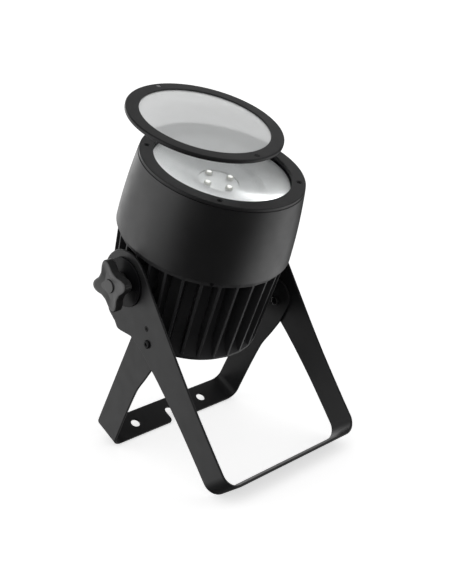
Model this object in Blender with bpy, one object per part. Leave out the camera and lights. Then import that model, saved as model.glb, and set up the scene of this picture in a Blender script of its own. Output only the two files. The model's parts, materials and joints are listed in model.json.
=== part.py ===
"""Stage par can light: a finned lamp head in a folding double bracket, with a lift-off frost filter.

World frame in metres, +Z up. The floor is Z = 0 and the tilt axis runs along X.
In the head's own frame Z is the optical axis, positive towards the lens, and X is the tilt axis.
In a bracket's own frame the legs hang down -Z from its pivot and Y runs across the strap.
"""

import math
from dataclasses import dataclass

import bmesh
import bpy
from mathutils import Vector

# Driving dimensions ---------------------------------------------------------------------------

PIVOT_HEIGHT = 0.2311
PIVOT_Y = 0.0260
HEAD_TILT = math.radians(21.3)
GAP = 0.0003  # clearance between neighbouring pieces

BEZEL_FACE = 0.1389  # from the tilt axis to the front of the lamp, along the optical axis
BEZEL_RADIUS = 0.1000
BEZEL_OPENING = 0.0835
BEZEL_THICK = 0.0042
BEZEL_CHAMFER = 0.0007
BEZEL_SCREW_CIRCLE = 0.0915
BEZEL_SCREW_RADIUS = 0.0029
BEZEL_SCREW_POCKET = 0.0033
BEZEL_SCREW_LENGTH = 0.0140
M3_SHANK = 0.0014
M3_HOLE = 0.0017

SHELL_BACK = 0.0426
SHELL_FLARE = 0.0084
SHELL_BELLY = 0.0016
SHELL_WALL = 0.0026
LEDGE_THICK = 0.0074
LEDGE_OPENING = 0.0840
RIM_BORE = 0.0882

GASKET_THICK = 0.0014
LENS_THICK = 0.0040
LENS_RADIUS = 0.0874
LENS_CHAMFER = 0.0005
REFLECTOR_WALL = 0.0012
REFLECTOR_CURVE = 1.6  # how late the dish turns up towards its rim

LED_COUNT = 4
LED_CIRCLE = 0.0183
LED_RADIUS = 0.0045
LED_HEIGHT = 0.0034
LED_FLANGE = 0.0010
LED_BOARD_RADIUS = 0.0245
LED_BOARD_THICK = 0.0016
LED_BOARD_TOP = 0.1130
PEDESTAL_RADIUS = 0.0258
PEDESTAL_FOOT_RADIUS = 0.0400
PEDESTAL_FOOT = 0.0060

SINK_TOP = 0.0500
SINK_COLLAR_BACK = 0.0345
SINK_BACK = -0.0766
SINK_COLLAR_RADIUS = 0.1043
SINK_BACK_RADIUS = 0.0976
SINK_FLOOR_RADIUS = 0.0840
SINK_RAMP = 0.0240  # length over which the slots between the fins run out to the back rim
SINK_RIM = 0.0035
FIN_COUNT = 30
FIN_THICK = 0.0034
FIN_ROOT = 0.0042
CAVITY_RADIUS = 0.0740
CAVITY_TOP = 0.0340
BOSS_RADIUS = 0.0220
BOSS_ROOT = 0.0780  # from the middle of the lamp to the inner end of a tilt boss
BOSS_FACE = 0.1070
THREAD_ROOT = 0.0840
THREAD_RADIUS = 0.0043
WIRE_HOLE_RADIUS = 0.0050
WIRE_HOLE_OFFSET = 0.0550
POWER_SUPPLY_SIZE = (0.0900, 0.0620, 0.0357)
DRIVER_BOARD_SIZE = (0.1000, 0.0760)
DRIVER_BOARD_TOP = -0.0184
CONTROL_BOARD_SIZE = (0.0720, 0.0440)
CONTROL_BOARD_TOP = -0.0664
BOARD_THICK = 0.0016

COVER_GASKET_THICK = 0.0012
COVER_THICK = 0.0036
COVER_RADIUS = 0.0920
COVER_SCREW_CIRCLE = 0.0835
COVER_SCREW_RADIUS = 0.0036
COVER_SCREW_SHANK = 0.0015
COVER_SCREW_DEPTH = 0.0090  # how far it reaches into the heat sink
BUTTON_PITCH = 0.0180
BUTTON_ROW = -0.0240
BUTTON_RADIUS = 0.0036
DISPLAY_CENTRE = -0.0450
DISPLAY_SIZE = (0.0420, 0.0180)
SOCKET_WALL = 0.0022
SOCKET_FLANGE = 0.0040
SOCKET_DEPTH = 0.0110
VENT_RADIUS = 0.0065
EYE_SIZE = (0.0240, 0.0220)
EYE_HOLE_RADIUS = 0.0055

STRAP_THICK = 0.0030
HINGE_ALONG = 0.0768  # bracket hinge, measured down the front leg from the tilt axis
HINGE_ACROSS = 0.0079
HINGE_HEAD_RADIUS = 0.0052
HINGE_HEAD_HEIGHT = 0.0018
HINGE_SOCKET_RADIUS = 0.0018
HINGE_SHANK_RADIUS = 0.0030
HINGE_SHANK_END = 0.1008  # from the middle of the lamp
HINGE_NUT_RADIUS = 0.0058
HINGE_NUT_THICK = 0.0046
LOCK_SCREW_RADIUS = 0.0028
LOCK_SCREW_DEPTH = 0.0026

FILTER_RADIUS = 0.0958
FILTER_OPENING = 0.0794
FILTER_THICK = 0.0050
FILTER_RECESS_RADIUS = 0.0850
FILTER_RECESS_DEPTH = 0.0030
FILTER_CHAMFER = 0.0012
FILTER_SHEET_THICK = 0.0017
FILTER_OFFSET = (0.0, 0.0444, 0.0321)  # middle of the lifted filter, from the middle of the bezel
MAGNET_CIRCLE = 0.0893
MAGNET_RADIUS = 0.0030

KNOB_FACE = 0.1384
KNOB_LOBES = 4
KNOB_TIP_RADIUS = 0.0310
KNOB_VALLEY_RADIUS = 0.0195
KNOB_LOBE_THICK = 0.0110
KNOB_HUB_RADIUS = 0.0130
KNOB_TURN = math.radians(31.3)
KNOB_DISH_RADIUS = 0.0121
KNOB_DISH_DEPTH = 0.0030
STUD_RADIUS = 0.0040
STUD_START = 0.0860  # from the middle of the lamp
STUD_GRIP = 0.0117  # how far it reaches into the knob
STUD_HOLE_RADIUS = 0.0045
FRICTION_DISC_RADIUS = 0.0205
WASHER_RADIUS = 0.0300
WASHER_THICK = 0.0024
LOCK_WASHER_RADIUS = 0.0110
LOCK_WASHER_THICK = 0.0020

LARGE_STEPS = 40
HIDDEN_STEPS = 28
MEDIUM_STEPS = 18
SMALL_STEPS = 10
SHARP_ANGLE = math.radians(32)


@dataclass
class Strap:
    """A U-shaped bracket bent from one flat strap. Edge points are (distance down the leg, across)."""

    half_width: float
    length: float
    bend_radius: float
    top_radius: float
    top_centre: tuple
    front_edge: list
    back_edge: list


FRONT_STRAP = Strap(
    half_width=0.1132,
    length=0.2690,
    bend_radius=0.0200,
    top_radius=0.0386,
    top_centre=(0.0, 0.0),
    front_edge=[(0.0, -0.0386), (0.030, -0.0358), (0.150, -0.0260), (0.225, -0.0237), (0.269, -0.0236)],
    back_edge=[
        (0.0, 0.0386),
        (0.020, 0.0478),
        (0.033, 0.0502),
        (0.042, 0.0500),
        (0.057, 0.0332),
        (0.104, 0.0220),
        (0.170, 0.0160),
        (0.225, 0.0148),
        (0.269, 0.0148),
    ],
)

REAR_STRAP = Strap(
    half_width=0.1096,
    length=0.1825,
    bend_radius=0.0150,
    top_radius=0.0240,
    top_centre=(-0.0040, 0.0055),
    front_edge=[(-0.004, -0.0185), (0.020, -0.0185), (0.046, -0.0146), (0.078, -0.0090), (0.1825, -0.0088)],
    back_edge=[(-0.004, 0.0295), (0.1825, 0.0294)],
)

FRONT_LEG_ANGLE = math.radians(-34.1)  # about X; the front bracket leans forward
REAR_LEG_ANGLE = math.radians(29.6)
REAR_HOLE_SPREAD = 0.0580
REAR_HOLE_RADIUS = 0.0062
REAR_HOLE_ACROSS = 0.0100
SLOT_RADIUS = 0.0068
SLOT_MOUTH_RADIUS = 0.0060
SLOT_MOUTH_EDGE = -0.0088  # front edge of the rear cross bar
STOP_TAB_LENGTH = 0.0080
STOP_TAB_LINE = ((0.0487, -0.0433), (0.0350, -0.0554))  # its middle, as (across, height)
CURVED_LENGTH = 0.1200  # how far down a leg its edges still curve
CURVED_STEP = 0.0060
STRAIGHT_STEP = 0.0250
HINGE_HOLE_RADIUS = 0.0033
LOCK_HOLE_RADIUS = 0.0032
LOCK_SCREW_PLACE = (0.0611, -0.0023)  # down the front leg, across it

# Scene and mesh helpers -----------------------------------------------------------------------


def clear_scene():
    for thing in list(bpy.data.objects):
        bpy.data.objects.remove(thing, do_unlink=True)


def make_material(name, colour, roughness, metallic):
    material = bpy.data.materials.new(name)
    material.use_nodes = True
    shader = material.node_tree.nodes["Principled BSDF"]
    shader.inputs["Base Color"].default_value = (*colour, 1.0)
    shader.inputs["Roughness"].default_value = roughness
    shader.inputs["Metallic"].default_value = metallic
    return material


def make_frame(name, parent=None, location=(0, 0, 0), turn=(0, 0, 0)):
    """An empty that carries the pieces of one moving group."""
    frame = bpy.data.objects.new(name, None)
    frame.location = location
    frame.rotation_euler = turn
    frame.parent = parent
    bpy.context.scene.collection.objects.link(frame)
    return frame


def add_piece(name, shape, material, parent=None, location=(0, 0, 0), turn=(0, 0, 0)):
    """Turns a bmesh into a named, smooth-shaded object."""
    mesh = bpy.data.meshes.new(name)
    bmesh.ops.remove_doubles(shape, verts=shape.verts, dist=1e-6)
    bmesh.ops.dissolve_degenerate(shape, edges=shape.edges, dist=1e-6)
    bmesh.ops.recalc_face_normals(shape, faces=shape.faces)
    shape.to_mesh(mesh)
    shape.free()
    mesh.shade_smooth()
    mesh.set_sharp_from_angle(angle=SHARP_ANGLE)
    piece = bpy.data.objects.new(name, mesh)
    if material:
        mesh.materials.append(material)
    piece.location = location
    piece.rotation_euler = turn
    piece.parent = parent
    bpy.context.scene.collection.objects.link(piece)
    return piece


def boolean(piece, name, shape, parent, operation="DIFFERENCE", location=(0, 0, 0), turn=(0, 0, 0)):
    """Cuts a hidden helper shape out of a piece, or joins it on."""
    helper = add_piece(name, shape, None, parent, location, turn)
    helper.hide_render = True
    helper.display_type = "WIRE"
    modifier = piece.modifiers.new(name, "BOOLEAN")
    modifier.operation = operation
    modifier.solver = "EXACT"
    modifier.object = helper
    return helper


def turned(profile, steps=SMALL_STEPS):
    """A closed (radius, height) outline revolved about Z."""
    shape = bmesh.new()
    add_turned(shape, profile, steps, Vector((0, 0, 0)))
    return shape


def add_turned(shape, profile, steps, centre):
    rings = []
    for radius, height in profile:
        if radius == 0:
            rings.append([shape.verts.new(centre + Vector((0, 0, height)))] * steps)
            continue
        ring = []
        for step in range(steps):
            angle = 2 * math.pi * step / steps
            offset = Vector((radius * math.cos(angle), radius * math.sin(angle), height))
            ring.append(shape.verts.new(centre + offset))
        rings.append(ring)
    for here, there in zip(rings, rings[1:] + rings[:1]):
        for step in range(steps):
            after = (step + 1) % steps
            corners = list(dict.fromkeys([here[step], here[after], there[after], there[step]]))
            if len(corners) > 2:
                shape.faces.new(corners)
    bmesh.ops.recalc_face_normals(shape, faces=shape.faces)


def rod_profile(radius, low, high):
    return [(0, high), (radius, high), (radius, low), (0, low)]


def ring_profile(inner, outer, low, high):
    return [(outer, high), (outer, low), (inner, low), (inner, high)]


def rods(places, profile, steps=SMALL_STEPS):
    """The same turned shape at several (x, y) places, in one bmesh."""
    shape = bmesh.new()
    for x, y in places:
        add_turned(shape, profile, steps, Vector((x, y, 0)))
    return shape


def prism(outline, low, high):
    """An (x, y) outline extruded between two heights."""
    shape = bmesh.new()
    bottom = [shape.verts.new((x, y, low)) for x, y in outline]
    top = [shape.verts.new((x, y, high)) for x, y in outline]
    shape.faces.new(bottom)
    shape.faces.new(top)
    for index in range(len(outline)):
        after = (index + 1) % len(outline)
        shape.faces.new([bottom[index], bottom[after], top[after], top[index]])
    return shape


def rounded_box(width, depth, radius, centre=(0, 0), corner_steps=4):
    """The (x, y) outline of a rectangle with round corners."""
    outline = []
    for quarter, (side, end) in enumerate([(1, 1), (-1, 1), (-1, -1), (1, -1)]):
        x = centre[0] + side * (width / 2 - radius)
        y = centre[1] + end * (depth / 2 - radius)
        for step in range(corner_steps + 1):
            angle = math.pi / 2 * (quarter + step / corner_steps)
            outline.append((x + radius * math.cos(angle), y + radius * math.sin(angle)))
    return outline


def circle_places(count, radius, start):
    """Evenly spaced (x, y) places on a circle."""
    angles = [start + 2 * math.pi * index / count for index in range(count)]
    return [(radius * math.cos(angle), radius * math.sin(angle)) for angle in angles]


def smooth_value(points, where):
    """A smooth curve through (position, value) points, with level ends."""
    if where <= points[0][0]:
        return points[0][1]
    slopes = [0.0]
    for before, after in zip(points, points[2:]):
        slopes.append((after[1] - before[1]) / (after[0] - before[0]))
    slopes.append(0.0)
    for index, (start, end) in enumerate(zip(points, points[1:])):
        if where > end[0]:
            continue
        span = end[0] - start[0]
        t = (where - start[0]) / span
        rise = t * t * (3 - 2 * t)
        leave = t * (1 - t) ** 2 * slopes[index] * span
        arrive = t * t * (t - 1) * slopes[index + 1] * span
        return start[1] + (end[1] - start[1]) * rise + leave + arrive
    return points[-1][1]


# Brackets -------------------------------------------------------------------------------------


def strap_edges(strap, down):
    """(front, back) position across the strap at a distance down its leg."""
    top, middle = strap.top_centre
    if down < top:
        reach = math.sqrt(max(strap.top_radius**2 - (down - top) ** 2, 0))
        return middle - reach, middle + reach
    return smooth_value(strap.front_edge, down), smooth_value(strap.back_edge, down)


def leg_stations(strap):
    """Distances down a leg that get a cross-section, close together where its edges curve."""
    top = strap.top_centre[0]
    leg_end = strap.length - strap.bend_radius
    downs = [top - strap.top_radius * math.cos(math.radians(angle)) for angle in range(6, 90, 9)]
    for start, end, step in ((top, CURVED_LENGTH, CURVED_STEP), (CURVED_LENGTH, leg_end, STRAIGHT_STEP)):
        count = round((end - start) / step)
        downs += [start + (end - start) * index / count for index in range(count)]
    return downs + [leg_end]


def strap_sections(strap):
    """Cross-sections down the left leg and round its bend, as (outer x, z), (inner x, z), edges."""
    stations = []
    leg_end = strap.length - strap.bend_radius
    inner = strap.half_width - STRAP_THICK
    for down in leg_stations(strap):
        stations.append(((-strap.half_width, -down), (-inner, -down), strap_edges(strap, down)))
    foot = strap_edges(strap, strap.length)
    centre_x = -(strap.half_width - strap.bend_radius)
    for angle in range(10, 91, 10):
        sideways = math.cos(math.radians(angle))
        downwards = math.sin(math.radians(angle))
        section = []
        for radius in (strap.bend_radius, strap.bend_radius - STRAP_THICK):
            section.append((centre_x - radius * sideways, -leg_end - radius * downwards))
        stations.append((section[0], section[1], foot))
    return stations


def strap_shape(strap):
    half = strap_sections(strap)
    mirrored = [((-o[0], o[1]), (-i[0], i[1]), edges) for o, i, edges in reversed(half)]
    shape = bmesh.new()
    sections = []
    for outer, inner, (front, back) in half + mirrored:
        corners = [(outer, front), (outer, back), (inner, back), (inner, front)]
        sections.append([shape.verts.new((xz[0], across, xz[1])) for xz, across in corners])
    for here, there in zip(sections, sections[1:]):
        for index in range(4):
            after = (index + 1) % 4
            shape.faces.new([here[index], here[after], there[after], there[index]])
    shape.faces.new(sections[0])
    shape.faces.new(sections[-1])
    return shape


def leg_hole_cutter(holes, reach):
    """Cylinders along X through both legs, given as (down, across, radius) on the strap."""
    shape = bmesh.new()
    for down, across, radius in holes:
        add_turned(shape, rod_profile(radius, -reach, reach), SMALL_STEPS, Vector((down, across, 0)))
    return shape


def stop_tab_shape(strap):
    """Both stop tabs: flanges bent inwards from the lower edge of the front strap's lobe."""
    lobe_end, strap_end = [Vector(point) for point in STOP_TAB_LINE]
    along = (strap_end - lobe_end).normalized()
    half_thick = Vector((along.y, -along.x)) * STRAP_THICK / 2
    outline = [lobe_end + half_thick, strap_end + half_thick, strap_end - half_thick, lobe_end - half_thick]
    shape = bmesh.new()
    outside = strap.half_width - STRAP_THICK / 2
    inside = strap.half_width - STOP_TAB_LENGTH
    for side in (-1, 1):
        rows = []
        for x in (side * outside, side * inside):
            rows.append([shape.verts.new((x, point.x, point.y)) for point in outline])
        shape.faces.new(rows[0])
        shape.faces.new(rows[1])
        for index in range(4):
            after = (index + 1) % 4
            shape.faces.new([rows[0][index], rows[0][after], rows[1][after], rows[1][index]])
    return shape


def build_front_bracket(frame, paint):
    bracket = add_piece("front_bracket", strap_shape(FRONT_STRAP), paint, frame)
    boolean(bracket, "stop_tabs", stop_tab_shape(FRONT_STRAP), frame, "UNION")
    holes = [
        (0.0, 0.0, STUD_HOLE_RADIUS),
        (HINGE_ALONG, HINGE_ACROSS, HINGE_HOLE_RADIUS),
        (*LOCK_SCREW_PLACE, LOCK_HOLE_RADIUS),
    ]
    cutter = leg_hole_cutter(holes, FRONT_STRAP.half_width + 0.01)
    boolean(bracket, "front_leg_holes", cutter, frame, turn=(0, math.pi / 2, 0))


def slot_outline():
    """The hook slot: round at its closed end, with rounded corners where it meets the edge."""
    half = []
    for angle in range(80, -1, -10):
        out = SLOT_RADIUS + SLOT_MOUTH_RADIUS * (1 - math.cos(math.radians(angle)))
        across = SLOT_MOUTH_EDGE + SLOT_MOUTH_RADIUS * (1 - math.sin(math.radians(angle)))
        half.append((out, across))
    half.insert(0, (half[0][0], SLOT_MOUTH_EDGE - 0.02))
    slot_end = REAR_HOLE_ACROSS - 0.0020
    for angle in range(0, 90, 15):
        out = SLOT_RADIUS * math.cos(math.radians(angle))
        half.append((out, slot_end + SLOT_RADIUS * math.sin(math.radians(angle))))
    tip = [(0, slot_end + SLOT_RADIUS)]
    return half + tip + [(-x, y) for x, y in reversed(half)]


def build_rear_bracket(frame, paint):
    bracket = add_piece("rear_bracket", strap_shape(REAR_STRAP), paint, frame)
    cutter = leg_hole_cutter([(0, 0, HINGE_HOLE_RADIUS)], REAR_STRAP.half_width + 0.01)
    boolean(bracket, "rear_hinge_hole", cutter, frame, turn=(0, math.pi / 2, 0))
    below = -REAR_STRAP.length - 0.01
    above = below + 0.03
    places = [(-REAR_HOLE_SPREAD, REAR_HOLE_ACROSS), (REAR_HOLE_SPREAD, REAR_HOLE_ACROSS)]
    holes = rods(places, rod_profile(REAR_HOLE_RADIUS, below, above), MEDIUM_STEPS)
    boolean(bracket, "rear_mount_holes", holes, frame)
    boolean(bracket, "rear_hook_slot", prism(slot_outline(), below, above), frame)


def build_bracket_fasteners(frame, black_steel, steel):
    """Hinge screws with their nuts, and the flush lock screws above them, on both legs."""
    strap_face = FRONT_STRAP.half_width
    head_back = strap_face + GAP
    head_face = head_back + HINGE_HEAD_HEIGHT
    screw = [
        (HINGE_SOCKET_RADIUS, head_back),
        (HINGE_SOCKET_RADIUS, head_face),
        (HINGE_HEAD_RADIUS - 0.0010, head_face),
        (HINGE_HEAD_RADIUS, head_face - 0.0010),
        (HINGE_HEAD_RADIUS, head_back),
        (HINGE_SHANK_RADIUS, head_back),
        (HINGE_SHANK_RADIUS, HINGE_SHANK_END),
        (0, HINGE_SHANK_END),
        (0, head_back),
    ]
    nut_face = REAR_STRAP.half_width - STRAP_THICK - GAP
    nut = circle_places(6, HINGE_NUT_RADIUS, 0)
    nut_bore = rod_profile(HINGE_HOLE_RADIUS, nut_face - 0.01, nut_face + 0.01)
    lock = rod_profile(LOCK_SCREW_RADIUS, strap_face - LOCK_SCREW_DEPTH, strap_face)
    hinge_place = (0, HINGE_ACROSS, -HINGE_ALONG)
    lock_place = (0, LOCK_SCREW_PLACE[1], -LOCK_SCREW_PLACE[0])
    for side, name in ((-1, "left"), (1, "right")):
        turn = (0, side * math.pi / 2, 0)
        add_piece(f"hinge_screw_{name}", turned(screw), black_steel, frame, hinge_place, turn)
        hexagon = prism(nut, nut_face - HINGE_NUT_THICK, nut_face)
        nut_piece = add_piece(f"hinge_nut_{name}", hexagon, steel, frame, hinge_place, turn)
        boolean(nut_piece, f"nut_hole_{name}", turned(nut_bore), frame, location=hinge_place, turn=turn)
        add_piece(f"lock_screw_{name}", turned(lock), black_steel, frame, lock_place, turn)


# Lamp head: barrel and front ------------------------------------------------------------------


def shell_radius(height):
    """Outer radius of the barrel, which widens towards the back with a slight belly."""
    back = (BEZEL_FACE - height) / (BEZEL_FACE - SHELL_BACK)
    return BEZEL_RADIUS + SHELL_FLARE * back + 4 * SHELL_BELLY * back * (1 - back)


def bezel_screw_places():
    return circle_places(4, BEZEL_SCREW_CIRCLE, math.pi / 4)


BEZEL_BACK = BEZEL_FACE - BEZEL_THICK
SHELL_FRONT = BEZEL_BACK - GAP
LENS_TOP = SHELL_FRONT - GASKET_THICK - GAP
LENS_BACK = LENS_TOP - LENS_THICK
LENS_SEAT = LENS_BACK - GAP
LEDGE_BACK = LENS_SEAT - LEDGE_THICK


def build_front_shell(head, paint):
    outer_steps = 6
    span = SHELL_FRONT - SHELL_BACK
    heights = [SHELL_FRONT - span * step / outer_steps for step in range(outer_steps + 1)]
    profile = [(shell_radius(height), height) for height in heights]
    for height in (SHELL_BACK, LEDGE_BACK):
        profile.append((shell_radius(height) - SHELL_WALL, height))
    profile += [
        (LEDGE_OPENING, LEDGE_BACK),
        (LEDGE_OPENING, LENS_SEAT),
        (RIM_BORE, LENS_SEAT),
        (RIM_BORE, SHELL_FRONT),
    ]
    shell = add_piece("front_shell", turned(profile, LARGE_STEPS), paint, head)
    hole = rod_profile(M3_HOLE, BEZEL_FACE - BEZEL_SCREW_LENGTH - 0.0005, BEZEL_FACE)
    boolean(shell, "shell_screw_holes", rods(bezel_screw_places(), hole), head)


def build_bezel(head, paint, black_steel):
    profile = [
        (BEZEL_RADIUS - BEZEL_CHAMFER, BEZEL_FACE),
        (BEZEL_RADIUS, BEZEL_FACE - BEZEL_CHAMFER),
        (BEZEL_RADIUS, BEZEL_BACK),
        (BEZEL_OPENING, BEZEL_BACK),
        (BEZEL_OPENING, BEZEL_FACE),
    ]
    bezel = add_piece("front_bezel", turned(profile, LARGE_STEPS), paint, head)
    places = bezel_screw_places()
    seat = BEZEL_FACE - 0.0018
    counterbore = [
        (0, BEZEL_FACE + 0.002),
        (BEZEL_SCREW_POCKET, BEZEL_FACE + 0.002),
        (BEZEL_SCREW_POCKET, seat),
        (M3_HOLE, seat),
        (M3_HOLE, BEZEL_BACK - 0.002),
        (0, BEZEL_BACK - 0.002),
    ]
    boolean(bezel, "bezel_screw_holes", rods(places, counterbore), head)
    head_top = BEZEL_FACE - 0.0001
    screw = [
        (0, head_top - 0.0011),
        (M3_SHANK, head_top - 0.0011),
        (M3_SHANK, head_top),
        (BEZEL_SCREW_RADIUS - 0.0004, head_top),
        (BEZEL_SCREW_RADIUS, head_top - 0.0005),
        (BEZEL_SCREW_RADIUS, seat + GAP),
        (M3_SHANK, seat + GAP),
        (M3_SHANK, BEZEL_FACE - BEZEL_SCREW_LENGTH),
        (0, BEZEL_FACE - BEZEL_SCREW_LENGTH),
    ]
    for number, (x, y) in enumerate(places, 1):
        add_piece(f"bezel_screw_{number}", turned(screw), black_steel, head, (x, y, 0))


def build_optics(head, glass, rubber, mirror):
    lens = [
        (0, LENS_TOP),
        (LENS_RADIUS - LENS_CHAMFER, LENS_TOP),
        (LENS_RADIUS, LENS_TOP - LENS_CHAMFER),
        (LENS_RADIUS, LENS_BACK),
        (0, LENS_BACK),
    ]
    add_piece("front_lens", turned(lens, LARGE_STEPS), glass, head)
    gasket = ring_profile(BEZEL_OPENING + 0.0004, RIM_BORE - 0.0006, LENS_TOP + GAP, SHELL_FRONT)
    add_piece("lens_gasket", turned(gasket, HIDDEN_STEPS), rubber, head)
    throat = LED_BOARD_RADIUS + 0.0006
    rim = LEDGE_OPENING - 0.0020
    bottom = LED_BOARD_TOP + 0.0010
    rise = LENS_BACK - 0.0006 - bottom
    steps = 4
    inner = []
    for step in range(steps + 1):
        t = step / steps
        inner.append((throat + (rim - throat) * t, bottom + rise * t**REFLECTOR_CURVE))
    outer = [(radius + REFLECTOR_WALL, height - REFLECTOR_WALL) for radius, height in inner[:-1]]
    outer.append((rim + REFLECTOR_WALL, bottom + rise))
    add_piece("reflector", turned(outer[::-1] + inner, HIDDEN_STEPS), mirror, head)


def build_light_engine(head, board, phosphor, aluminium):
    board_back = LED_BOARD_TOP - LED_BOARD_THICK
    disc = rod_profile(LED_BOARD_RADIUS, board_back, LED_BOARD_TOP)
    add_piece("led_board", turned(disc, MEDIUM_STEPS), board, head)
    dome_steps = 3
    dome = []
    for step in range(dome_steps + 1):
        angle = math.pi / 2 * step / dome_steps
        height = LED_FLANGE + (LED_HEIGHT - LED_FLANGE) * math.cos(angle)
        dome.append((LED_RADIUS * math.sin(angle), height))
    dome += [(LED_RADIUS, 0), (0, 0)]
    for number, (x, y) in enumerate(circle_places(LED_COUNT, LED_CIRCLE, 0), 1):
        place = (x, y, LED_BOARD_TOP + GAP)
        add_piece(f"led_emitter_{number}", turned(dome), phosphor, head, place)
    top = board_back - GAP
    base = SINK_TOP + GAP
    pillar = [
        (0, top),
        (PEDESTAL_RADIUS, top),
        (PEDESTAL_RADIUS, base + PEDESTAL_FOOT + 0.0040),
        (PEDESTAL_FOOT_RADIUS, base + PEDESTAL_FOOT),
        (PEDESTAL_FOOT_RADIUS, base),
        (0, base),
    ]
    add_piece("led_pedestal", turned(pillar, MEDIUM_STEPS), aluminium, head)


# Lamp head: heat sink and back ----------------------------------------------------------------


def sink_section(shape, height, outer, floor):
    """One level of the fins: each fin is two outer and two root points."""
    section = []
    for fin in range(FIN_COUNT):
        middle = 2 * math.pi * fin / FIN_COUNT
        half_tip = FIN_THICK / 2 / outer
        half_root = max(FIN_ROOT / 2 / floor, half_tip * 1.05)
        corners = [(-half_root, floor), (-half_tip, outer), (half_tip, outer), (half_root, floor)]
        for turn, radius in corners:
            angle = middle + turn
            section.append(shape.verts.new((radius * math.cos(angle), radius * math.sin(angle), height)))
    return section


def sink_shape():
    """A finned drum whose slots start under a plain collar and run out into a plain back rim."""
    shape = bmesh.new()

    def outer_at(height):
        share = (SINK_COLLAR_BACK - height) / (SINK_COLLAR_BACK - SINK_BACK)
        return SINK_COLLAR_RADIUS + (SINK_BACK_RADIUS - SINK_COLLAR_RADIUS) * share

    rim_top = SINK_BACK + SINK_RIM
    ramp_top = rim_top + SINK_RAMP
    ramp_middle = rim_top + 0.4 * SINK_RAMP
    levels = [
        (SINK_TOP, SINK_COLLAR_RADIUS, SINK_COLLAR_RADIUS),
        (SINK_COLLAR_BACK, SINK_COLLAR_RADIUS, SINK_COLLAR_RADIUS),
        (SINK_COLLAR_BACK, SINK_COLLAR_RADIUS, SINK_FLOOR_RADIUS),
        (ramp_top, outer_at(ramp_top), SINK_FLOOR_RADIUS),
        (ramp_middle, outer_at(ramp_middle), SINK_FLOOR_RADIUS + 0.0040),
        (rim_top, outer_at(rim_top), outer_at(rim_top)),
        (SINK_BACK, SINK_BACK_RADIUS, SINK_BACK_RADIUS),
    ]
    sections = [sink_section(shape, *level) for level in levels]
    count = 4 * FIN_COUNT
    for here, there in zip(sections, sections[1:]):
        for index in range(count):
            after = (index + 1) % count
            shape.faces.new([here[index], there[index], there[after], here[after]])
    shape.faces.new(sections[0])
    shape.faces.new(sections[-1])
    return shape


def build_heat_sink(head, paint):
    sink = add_piece("heat_sink", sink_shape(), paint, head)
    for side, name in ((-1, "left"), (1, "right")):
        turn = (0, side * math.pi / 2, 0)
        boss = turned(rod_profile(BOSS_RADIUS, BOSS_ROOT, BOSS_FACE), MEDIUM_STEPS)
        boolean(sink, f"tilt_boss_{name}", boss, head, "UNION", turn=turn)
        thread = turned(rod_profile(THREAD_RADIUS, THREAD_ROOT, BOSS_FACE + 0.004))
        boolean(sink, f"boss_thread_{name}", thread, head, turn=turn)
    cavity = turned(rod_profile(CAVITY_RADIUS, SINK_BACK - 0.01, CAVITY_TOP), HIDDEN_STEPS)
    boolean(sink, "driver_cavity", cavity, head)
    wire_hole = rod_profile(WIRE_HOLE_RADIUS, CAVITY_TOP - 0.01, SINK_TOP + 0.01)
    boolean(sink, "wire_hole", rods([(0, WIRE_HOLE_OFFSET)], wire_hole), head)
    screw_hole = rod_profile(COVER_SCREW_SHANK + GAP, SINK_BACK - 0.01, SINK_BACK + COVER_SCREW_DEPTH + 0.001)
    boolean(sink, "sink_screw_holes", rods(cover_screw_places(), screw_hole), head)


def cover_screw_places():
    return circle_places(4, COVER_SCREW_CIRCLE, math.pi / 4)


GASKET_FACE = SINK_BACK - GAP
COVER_FACE = GASKET_FACE - COVER_GASKET_THICK - GAP
COVER_BACK = COVER_FACE - COVER_THICK
SOCKETS = {
    "power_inlet": (-0.0400, 0.0310, 0.0118),
    "power_outlet": (0.0400, 0.0310, 0.0118),
    "data_input": (-0.0450, -0.0110, 0.0100),
    "data_output": (0.0450, -0.0110, 0.0100),
}


def button_places():
    return [(BUTTON_PITCH * (index - 1.5), BUTTON_ROW) for index in range(4)]


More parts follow.
